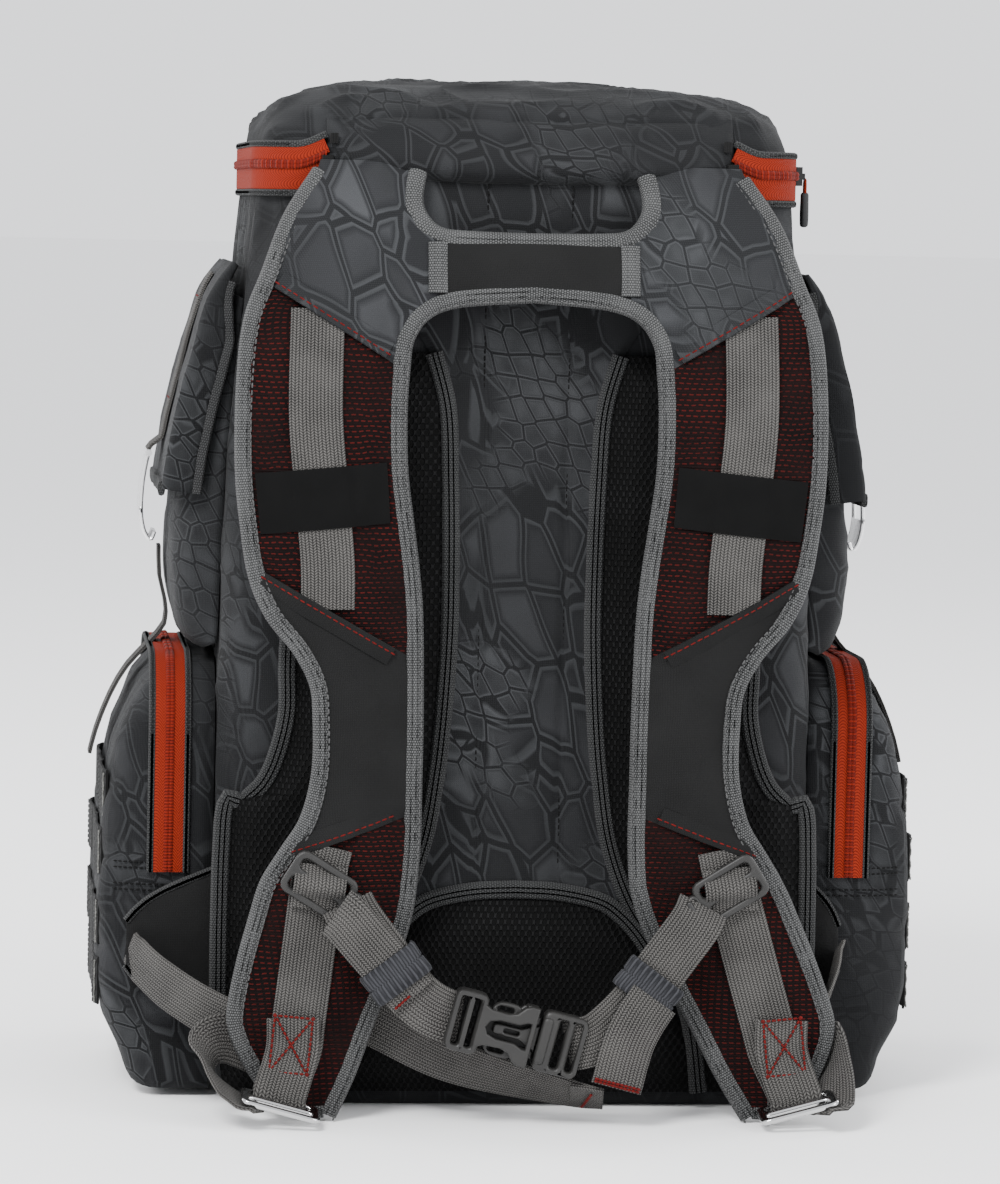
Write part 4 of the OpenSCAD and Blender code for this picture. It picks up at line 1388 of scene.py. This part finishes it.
def cargo_flap(side, looks):
    """The flap hangs over the pocket's face, with a narrow turned side along each edge."""
    line = every(FLAP_LINE, 4)
    lip = [(-FLAP_HALF + 0.8, -15), (-FLAP_HALF, -11), (-FLAP_HALF, -4), (-FLAP_HALF + 0.6, -1.2),
           (-FLAP_HALF + 2.5, 0)]
    section = lip + [(y, 0) for y in np.linspace(-66, 66, 25)] + [(-y, d) for y, d in reversed(lip)]
    normal = unit(np.stack([-np.gradient(line[:, 1]), np.gradient(line[:, 0])], 1))
    rows = []
    for (x, z), n in zip(line, normal):
        depth = min(1.0, (404 - z) / 40)
        bow = 1.4 + 0.9 * math.sin((z - 290) / 35)
        rows.append([(side * (x + n[0] * (d * depth + 2.2 + bow * (d == 0) * 0.5)), y,
                      z + n[1] * d * depth) for y, d in section])
    rows = wrinkled(rows, 0.9, 38, 41.0 + side)
    shape = Shape()
    shape.grid(rows)
    name = NAME_OF[side]
    flap = thicken(shape.build("cargo_flap_" + name, [looks["camo"], looks["black"]]), 1.6)
    trim = Shape()
    rows = np.array(rows)
    for j, way in ((0, 1), (-1, -1)):
        edge = every(rows[2:, j], 4)
        band(trim, edge, (0.3, way, 0), tape_section(2.6, 5.4, 1.2))
    hem = every(rows[-1, 5:-5], 4)
    band(trim, hem, UP, tape_section(7, 3.2, 1.4))
    return flap, trim.build("flap_binding_" + name, [looks["dark_binding"]])


def make_cargo(looks):
    for name, side in SIDES:
        pocket = cargo_skin(side, looks)
        flap, trim = cargo_flap(side, looks)
        hit = surface_finder([flap])
        fix(pocket, "pack", ["cargo_pocket_" + name])
        path = []
        for z in np.linspace(392, 312, 22):
            found = hit((side * 230, 0, z), (-side, 0, 0))
            path.append(found[0] + [side * 1.2, 0, 0])
        path += [(side * 172.5, 0, 308), (side * 174.2, 0, 305.6)]
        web = tape_piece("flap_web_" + name, path, (0, 1, 0), WEB_WIDTH, WEB_THICK, looks["webbing"])
        fix(flap, "flap_" + name, ["cargo_flap_" + name])
        fix(trim, "flap_" + name)
        fix(web, "flap_" + name, ["flap_web_" + name])
        for at in (3, 16):
            row = path[at] + columns(side * 1.1, np.linspace(-10, 10, 8), 0)
            stitch("flap_" + name, "red_thread", row, (side, 0, 0))
        cargo_tail(side, looks)


def cargo_tail(side, looks):
    """The webbing that the hook catches; its loose end hangs over the pocket below."""
    path = columns(side * TAIL_LINE[:, 0], 0.0, TAIL_LINE[:, 1])
    tail = tape_piece("cargo_tail_" + NAME_OF[side], path, (0, 1, 0), 18, 1.7, looks["fine_webbing"])
    fix(tail, "pack", ["cargo_tails"])


def make_bag(looks):
    """The bag's own cloth, and the panel and pads against the wearer's back."""
    fix(bag_body(looks), "pack", ["main_shell"])
    fix(spine(looks), "pack", ["spine_panel"])
    for name, side in SIDES:
        pad = fix(back_pad(side, looks), "pack", ["back_pad_" + name])
    low = fix(lumbar(looks), "pack", ["lumbar_pad"])
    fix(pad_bindings(looks), "pack")


# ---- moulded and metal parts ----------------------------------------------------------------

def plate(name, outlines, thick, soft, turn, look):
    """A flat part with rounded edges; the first outline is its rim, and any others are holes."""
    data = bpy.data.curves.new(name, "CURVE")
    data.dimensions = "2D"
    data.fill_mode = "BOTH"
    data.bevel_depth = soft * MM
    data.bevel_resolution = 3
    data.offset = -soft * MM
    data.extrude = (thick / 2 - soft) * MM
    for i, outline in enumerate(outlines):
        points = np.array(outline, float)
        (x, y), (next_x, next_y) = points.T, np.roll(points, -1, axis=0).T
        area = np.sum(x * next_y - y * next_x)
        if (area > 0) != (i == 0):
            points = points[::-1]
        spline = data.splines.new("POLY")
        spline.points.add(len(points) - 1)
        for slot, (x, y) in zip(spline.points, points):
            slot.co = (x * MM, y * MM, 0, 1)
        spline.use_cyclic_u = True
    drawn = linked(name + "_outline", data)
    graph = bpy.context.evaluated_depsgraph_get()
    mesh = bpy.data.meshes.new_from_object(drawn.evaluated_get(graph))
    bpy.data.objects.remove(drawn)
    mesh.transform(turn)
    mesh.materials.clear()
    mesh.materials.append(look)
    return finished(name, mesh, 40)


def joined(name, pieces):
    """One object from several."""
    bm = bmesh.new()
    for piece in pieces:
        bm.from_mesh(piece.data)
    mesh = bpy.data.meshes.new(name)
    for look in pieces[0].data.materials:
        mesh.materials.append(look)
    bm.to_mesh(mesh)
    bm.free()
    for piece in pieces:
        bpy.data.objects.remove(piece)
    return linked(free_name(name), mesh)


def oblong(x0, x1, y0, y1, radius):
    ring = round_rect((x1 - x0) / 2, (y1 - y0) / 2, radius, 40)[:-1]
    return ring + [(x0 + x1) / 2, (y0 + y1) / 2]


def facing(place, tilt, out=0.0):
    """Turns a plate to face the viewer at this place in millimetres, tilted in its own plane."""
    c, s = math.cos(math.radians(tilt)), math.sin(math.radians(tilt))
    axes = Matrix(((c, s, 0), (0, 0, -1), (-s, c, 0))).to_4x4()
    return Matrix.Translation((Vector(place) + Vector((0, -out, 0))) * MM) @ axes


# ---- strap adjusters ------------------------------------------------------------------------

ADJUSTER = curve([(181, -86, 74), (178, -90.5, 69), (168, -103, 60), (154, -115, 51), (140, -123, 44),
                  (126, -127, 38)])
ADJUSTER_ACROSS = [(0.22, 0.1, 1), (0.3, 0, 0.95), (0.42, -0.05, 0.9), (0.42, -0.05, 0.9)]
LOOP = curve([(122, -125.6, 30), (140, -126, 37), (150, -129, 36), (153, -134, 30), (148, -141, 22),
              (140, -148, 14), (133, -153.5, 10), (128, -155.5, 8.5)])
LOOP_ACROSS = [(-0.3, 0.1, 0.9), (-0.1, 0, 1), (0.3, -0.1, 0.95), (0.75, -0.1, 0.65),
               (0.93, 0, 0.35), (0.97, 0, 0.26)]
TAIL_PATH = [(-106, -121, 53), (-83, -121, 51), (-64, -124, 43), (-36, -128, 30), (-3, -134, 20),
             (26, -140, 13.5), (39, -142, 12)]
TAIL_ACROSS = [(0.3, 0, 0.95), (0.3, 0, 0.95), (0.3, -0.3, 0.9), (0.25, -0.68, 0.7),
               (0.2, -0.78, 0.58), (0.15, -0.83, 0.5), (0.12, -0.85, 0.46)]
WING_ROOT = 134.0
WING_REACH = {-1: 49.0, 1: 24.0}


def tucked(line, side, share):
    """The right wing and its webbing are folded in behind the strap; this much stays out."""
    line = np.array(line, float)
    if side > 0:
        line[:, 0] = np.minimum(line[:, 0], WING_ROOT + (line[:, 0] - WING_ROOT) * share)
    return line


def make_adjusters(looks):
    for name, side in SIDES:
        mirror = np.array([side, 1, 1])
        path = ADJUSTER + np.outer(smooth_step((74 - ADJUSTER[:, 2]) / 36), [SPLAY[side] * 0.7, 0, 0])
        path = tucked(path, side, 0.5) * mirror
        across = spread(ADJUSTER_ACROSS, len(path)) * mirror
        web = tape_piece("adjuster_web_" + name, path, across, WEB_WIDTH, WEB_THICK, looks["webbing"])
        bend(web, "pack", "harness", (-0.176 if side < 0 else 0.155, -0.091, 0.068),
             (side * 0.135, -0.124, 0.042), "webbing", ["adjuster_webs"])
        path = (tucked(LOOP, side, 0.2) + [SPLAY[side] * 0.9, 0, 0]) * mirror
        across = spread(LOOP_ACROSS, len(path)) * mirror
        loop = tape_piece("adjuster_loop_" + name, path, across, WEB_WIDTH - 1, WEB_THICK,
                          looks["webbing"], 2.0)
        fix(loop, "harness")
        strap_wing(name, side, looks)
        make_ladder(name, side, looks)
    adjuster_tail(looks)


def strap_wing(name, side, looks):
    """Bound triangle of cloth that anchors an adjuster's webbing on the bag."""
    wing = Shape()
    rows = []
    for t in np.linspace(0, 1, 14):
        high, low = 114 - 20 * t - 8 * t ** 6, 38 + 17 * t + 10 * t ** 6
        bow = np.sin(math.pi * min(t, 0.9)) * np.sin(np.linspace(0, math.pi, 17))
        rows.append(columns(side * (WING_ROOT + WING_REACH[side] * t), -84.6 - 3.0 * bow,
                            np.linspace(low, high, 17)))
    wing.grid(wrinkled(rows, 0.8, 22, 51.0 + side))
    cloth = thicken(wing.build("strap_wing_" + name, [looks["black"], looks["black"]]), 2.4)
    fix(cloth, "pack", ["strap_wings"])
    rim = Shape()
    rows = np.array(rows)
    for edge in (rows[:, 0], rows[:, -1]):
        band(rim, every(edge, 3) + [0, 1, 0], UP, tape_section(4, 4.6, 1.6))
    fix(rim.build("wing_binding_" + name, [looks["dark_binding"]]), "pack")


def adjuster_tail(looks):
    """The left adjuster's loose end, with a turned and stitched tip."""
    path = spread(curve(TAIL_PATH), 80)
    across = spread(curve(TAIL_ACROSS), 80)
    curl = 1.6 * np.sin(np.linspace(0, 9, 80))
    path = path + columns(0, curl * 0.5, curl * 0.4) * smooth_step(np.linspace(0, 4, 80))[:, None]
    shape = Shape()
    band(shape, path, across, tape_section(WEB_WIDTH, WEB_THICK))
    end = path[-1] + np.array([-2.0, -1.6, 0.4])
    fold = np.array([end - (path[-1] - path[-6]) * t for t in (1.4, 0.7, 0.0, -0.15)])
    band(shape, fold, across[-1], tape_section(WEB_WIDTH - 0.6, WEB_THICK))
    tail = shape.build("adjuster_tail", [looks["webbing"]])
    fix(tail, "harness", ["adjuster_tail"])
    out = unit(np.cross(unit(path[-1] - path[-8]), across[-1]))
    out *= -np.sign(out[1])
    row = path[-5] + out * 2.9 + np.outer(np.linspace(-7, 10.5, 9), unit(across[-1]))
    stitch("harness", "red_thread", row, out, 2.0, 2.0, 0.6)


def make_ladder(name, side, looks):
    """Chromed ladder buckle, nearly level, at the lower end of a strap."""
    c, s = math.cos(math.radians(15)) * side, math.sin(math.radians(15))
    across = Vector((c, 0, s))
    low, high = (Vector(p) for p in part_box("ladder_buckle_" + name))
    forward = Vector((0, -math.cos(math.radians(8)), -math.sin(math.radians(8))))
    up = across.cross(forward).normalized()
    turn = Matrix((across, forward, up)).transposed().to_4x4()
    turn.translation = (low + high) / 2
    outlines = [oblong(-19, 19, -10, 10, 3.5), oblong(-15, 15, -6.6, -1.8, 1.2),
                oblong(-15, 15, 1.8, 6.6, 1.2)]
    buckle = plate("ladder_" + name, outlines, 2.8, 1.1, turn, looks["chrome"])
    fix(buckle, "ladder_" + name, ["ladder_buckle_" + name])


# ---- chest strap ----------------------------------------------------------------------------

BUCKLE_AT, BUCKLE_TILT = (-4.0, -152.0, 45.0), 14.0
SLIDER_AT, SLIDER_TILT = (96.0, -141.1, 112.0), 32.0
CHEST_Y = -152.0


def on_buckle(x, across=0.0, out=0.0):
    a = math.radians(BUCKLE_TILT)
    return (BUCKLE_AT[0] + x * math.cos(a) + across * math.sin(a), BUCKLE_AT[1] - out,
            BUCKLE_AT[2] - x * math.sin(a) + across * math.cos(a))


def make_sliders(looks):
    """Frame with a hook for each strap, and the strap's webbing arched over the frame's bar."""
    plastic = looks["plastic"]
    for name, side in SIDES:
        body = "chest_slider_" + name
        tilt = -side * SLIDER_TILT
        place = np.array(SLIDER_AT) * [side, 1, 1]
        parts = [plate("slider_frame", [oblong(-16.5, 16.5, -11, 11, 4.5),
                                        oblong(-13, 13, 2.2, 7.6, 1.8),
                                        oblong(-13, 13, -7.6, -2.2, 1.8)],
                       3.8, 1.3, facing(place, tilt, 3.3), plastic),
                 plate("slider_hook", [oblong(-3.6, 3.6, -7, 7, 3) - [side * 18.5, 0],
                                       oblong(-1.4, 1.4, -4.4, 4.4, 1.2) - [side * 18.8, 0]],
                       4.4, 1.4, facing(place, tilt, 3.4), plastic),
                 plate("slider_post", [oblong(-1.6, 1.6, -6.2, 6.2, 1.5) - [side * 20.4, 0]],
                       7.5, 1.4, facing(place, tilt, 6.0), plastic)]
        fix(joined(body, parts), body, [body])
        down = unit(np.array([side * 0.12, 0, -1.0]))
        arch = [place + down * t + [0, -out, 0] for t, out in
                ((-9.5, 2.5), (-7.5, 2.7), (-5, 3.6), (-2.5, 6.2), (0, 7.2), (2.5, 6.2), (5, 3.6),
                 (7.5, 2.7), (11, 2.4))]
        bulge = tape_piece("slider_web_" + name, curve(arch, 4), (1, 0, side * 0.12), WEB_WIDTH - 0.6,
                           WEB_THICK, looks["webbing"], 1.5)
        fix(bulge, body)


def chest_web(name, line, width, bodies, start, end, looks, nodes=(), tacks=()):
    """A web along a line of x, depth in front of the web's middle, and height, with bar tacks."""
    path = curve([(x, CHEST_Y - out, z) for x, out, z in line], 6)
    across = sideways(path)
    piece = tape_piece(name, path, across, width, WEB_THICK, looks["webbing"], 2.0)
    for at, low, high in tacks:
        row = path[at] + np.outer(np.linspace(low, high, 9), across[at] * WEB_WIDTH / 2) + [0, -1.3, 0]
        stitch(bodies[1], "red_thread", row, AHEAD, 2.0, 1.9, 0.5)
    bend(piece, *bodies, start, end, "webbing", nodes)


def make_chest_webs(looks):
    bar_x, _, bar_z = on_buckle(26.5)
    to_left, to_right = ("chest_slider_left", "harness"), ("chest_slider_right", "harness")
    to_male = ("harness", "buckle_male")
    chest_web("chest_web_left",
              [(-83, -5, 104), (-79, 0, 97), (-66, 0.6, 80), (-60, 0, 72), (-49, 0, 60),
               (-38, 0.3, 53.5), (-30, -1.5, 51.5)], WEB_WIDTH,
              to_left, (-0.080, -0.150, 0.099), (-0.062, -0.152, 0.074), looks, ["chest_web_left"])
    chest_web("chest_fold_left",
              [(-88, 1.0, 101), (-84, 4.5, 98), (-77, 4.2, 90), (-70, 3.2, 82), (-62, 2.2, 73),
               (-52, 2.0, 62)], 24,
              to_left, (-0.080, -0.150, 0.099), (-0.064, -0.152, 0.076), looks,
              tacks=((-2, -0.75, -0.15), (-6, 0.2, 0.8)))
    chest_web("chest_web_right_upper",
              [(83, -5, 104), (79, 0, 97), (70, 2.0, 85), (63, 1.2, 75), (57.5, 0, 66.8), (55, 0, 63.5)],
              WEB_WIDTH,
              to_right, (0.080, -0.150, 0.099), (0.064, -0.152, 0.076), looks, ["chest_web_right"])
    chest_web("chest_web_right_lower",
              [(58, 0.6, 68), (52, 1.4, 60), (43, 1.6, 50.5), (34, 1.6, 43),
               (bar_x + 3, 1.4, bar_z + 1.5), (bar_x - 1, -2.5, bar_z + 0.5)], 24.4,
              to_male, (0.056, -0.152, 0.065), (0.032, -0.152, 0.041), looks, ["chest_web_right"])
    chest_web("chest_tail_right",
              [(60, 4.5, 62), (54, 5.2, 53), (49, 5.4, 43), (46, 5.2, 33), (44, 4.6, 24),
               (43, 4.0, 20)], 24,
              to_male, (0.058, -0.157, 0.060), (0.046, -0.157, 0.034), looks,
              tacks=((-3, -0.8, 0.8), (-5, -0.8, 0.8)))
    make_keepers(looks)


def make_keepers(looks):
    """Elastic rings round the chest webs."""
    keepers = Shape()
    for x, z, lean in ((-60.5, 72.6, 53.0), (57.5, 66.8, -53.5)):
        a = math.radians(lean)
        along = np.array([math.cos(a), 0, -math.sin(a)])
        across = np.array([math.sin(a), 0, math.cos(a)])
        ring = round_rect(15.2, 3.7, 3.0, 44)
        rows = []
        for t, size in ((-8.2, 0.93), (-8, 0.99), (-6.5, 1.02), (-0.7, 1.0), (0, 0.94), (0.7, 1.0),
                        (6.5, 1.02), (8, 0.99), (8.2, 0.93)):
            rows.append([np.array([x, CHEST_Y - 0.8, z]) + along * t + across * p[0] * size
                         + np.array([0, 1, 0]) * p[1] * size for p in ring])
        keepers.grid(np.array(rows).transpose(1, 0, 2))
    fix(keepers.build("web_keepers", [looks["elastic"]]), "harness", ["web_keepers"])


def make_buckle(looks):
    plastic = looks["plastic"]

    def flat(name, outlines, thick, soft, out=0.0):
        return plate(name, outlines, thick, soft, facing(BUCKLE_AT, BUCKLE_TILT, out), plastic)

    def mirrored(half, closed=0):
        """Adds the other half of an outline, without the first points if they lie in the middle."""
        return half + [(x, -y) for x, y in reversed(half[closed:])]

    waist = mirrored([(-19, -13), (-17, -10), (-14, -8.6), (-6, -8.2), (-2, -9.4), (1, -13), (4, -14.3),
                      (8, -14.3)])
    centre = mirrored([(-15, 0), (-13.5, 3), (-9, 4.4), (0, 4.4), (4, 6.2), (5.6, 6.2)], 1)
    female = [flat("bars", [oblong(-32, -16, -14.5, 14.5, 3.4), oblong(-29, -25.4, -11.6, 11.6, 1.4),
                            oblong(-22.6, -19.6, -11.6, 11.6, 1.3)], 11.5, 2.4),
              flat("face", [waist, centre], 3.4, 1.1, 4.2), flat("rear", [waist], 3.4, 1.1, -4.2),
              flat("mouth", [oblong(2, 8, -14.4, -12.4, 0.8)], 8, 0.6),
              flat("mouth", [oblong(2, 8, 12.4, 14.4, 0.8)], 8, 0.6)]
    fix(joined("buckle_female", female), "harness", ["buckle_female"])
    guide = mirrored([(-11, -1.8), (-9.5, -2.6), (2, -2.6), (5, -4.2), (10, -6)])
    male = [flat("base", [oblong(10.5, 32, -14.5, 14.5, 3.2), oblong(26, 29.4, -11.6, 11.6, 1.3),
                          oblong(18.6, 22.4, -11.6, 11.6, 1.3)], 9.4, 2.2),
            flat("guide", [guide, oblong(-6, 1.5, -1.0, 1.0, 0.9)], 5, 1.0, 0.6),
            flat("lip", [oblong(10.5, 15.6, -11.4, 11.4, 2.2)], 11.6, 1.8)]
    fix(joined("buckle_male", male), "buckle_male", ["buckle_male"])
    for name, way in (("upper", 1), ("lower", -1)):
        prong = curve([(-13.8, 7.2), (-13.4, 9.6), (-10.4, 12.3), (-4, 12.9), (-0.6, 12), (2, 9.9),
                       (9.6, 9.8)], 5)
        inside = curve([(9.6, 6.2), (0, 6), (-8, 6.2), (-13.8, 7.2)], 4)[:-1]
        rim = np.vstack([prong, inside]) * [1, way]
        window = oblong(-11.5, -3.5, 8.2, 10.8, 1.2) * [1, way]
        piece = flat("buckle_prong_" + name, [rim, window], 4.6, 1.0)
        fix(piece, "prong_" + name, ["buckle_prong_" + name])


# ---- zip sliders, pulls and hooks -----------------------------------------------------------

def finish_node(name, look):
    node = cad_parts[name]
    node.data.materials.clear()
    node.data.materials.append(look)


def tube(shape, path, radius):
    path = np.array(path, float)
    along = unit(np.gradient(path, axis=0))
    side = unit(np.cross(along, (0.31, 0.17, 0.93)))
    up = np.cross(side, along)
    rows = np.stack([path + (side * math.cos(a) + up * math.sin(a)) * radius
                     for a in np.linspace(0, 2 * math.pi, 11)], 1)
    shape.grid(rows)
    shape.cap(rows[0][:-1])
    shape.cap(rows[-1][:-1])


def make_pull(node, body, out, looks):
    """A soft moulded pull on a loop of red cord, in the place of the CAD pull."""
    low, high = (np.array(p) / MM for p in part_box(node))
    middle, out = (low + high) / 2, np.array(out, float)
    wide = np.cross(out, (0, 0, 1))
    top = high[2]
    turn = Matrix((Vector(wide), Vector((0, 0, 1)), Vector(out))).transposed().to_4x4()
    turn.translation = Vector((middle[0], middle[1], 0)) * MM
    foot = low[2]
    grip = [(-3.0, foot + 1.5), (-1.8, foot), (1.8, foot), (3.0, foot + 1.5), (3.6, foot + 6),
            (2.8, top - 9), (2.6, top - 6), (1.2, top - 5), (-1.2, top - 5), (-2.6, top - 6),
            (-2.8, top - 9), (-3.6, foot + 6)]
    pull = plate(node + "_grip", [curve(grip + [grip[0]], 4)[:-1]], 3.6, 1.3, turn, looks["pull"])
    fix(pull, body, [node])
    loop = Shape()
    base = np.array([middle[0], middle[1], 0])
    line = ((-1.3, top - 7), (-1.5, top - 3), (-0.8, top + 0.6), (0.8, top + 0.6), (1.5, top - 3),
            (1.3, top - 7))
    tube(loop, curve([base + wide * x + [0, 0, z] for x, z in line], 6), 0.75)
    fix(loop.build(node + "_cord", [looks["tape"]]), body)


def make_hook(name, side, looks):
    """Bent metal hook with a window, hinged in the end of the flap's webbing."""
    line = curve([(173.6, 305.5), (175.2, 299), (176.8, 288), (177.2, 275), (175.4, 266), (172.4, 262.2),
                  (170.6, 266)], 6)
    shape = Shape()

    def strip(points, y, width):
        path = columns(side * points[:, 0], y, points[:, 1])
        band(shape, every(path, 1.2), (0, 1, 0), tape_section(width, 2.0, 0.9))

    strip(line, 12.4, 5.2)
    strip(line, -12.4, 5.2)
    strip(line[line[:, 1] < 277], 0, 30)
    tube(shape, columns(side * 174.0, np.linspace(-15, 15, 9), 304.2), 1.7)
    hook = shape.build("gate_hook_" + name, [looks["steel"]])
    fix(hook, "hook_" + name, ["gate_hook_" + name])


def make_hardware(looks):
    for name, side in SIDES:
        make_hook(name, side, looks)
        finish_node("side_zip_slider_" + name, looks["slider"])
        make_pull("side_zip_pull_" + name, "zip_pull_" + name, (0, 1, 0), looks)
    finish_node("lid_zip_slider", looks["slider"])
    finish_node("front_zip_slider", looks["slider"])
    make_pull("lid_zip_pull", "lid_pull", (1, 0, 0), looks)
    make_pull("front_zip_pull", "front_pull", (-1, 0, 0), looks)
    finish_node("base_board", looks["dark"])
    finish_node("frame_sheet", looks["dark"])


def main():
    set_camera()
    looks = make_looks()
    set_studio()
    for make in (make_adjusters, make_bag, make_lid, make_clamshells, make_cargo, make_harness,
                 make_sliders, make_chest_webs, make_buckle, make_hardware, build_stitches):
        make(looks)


main()
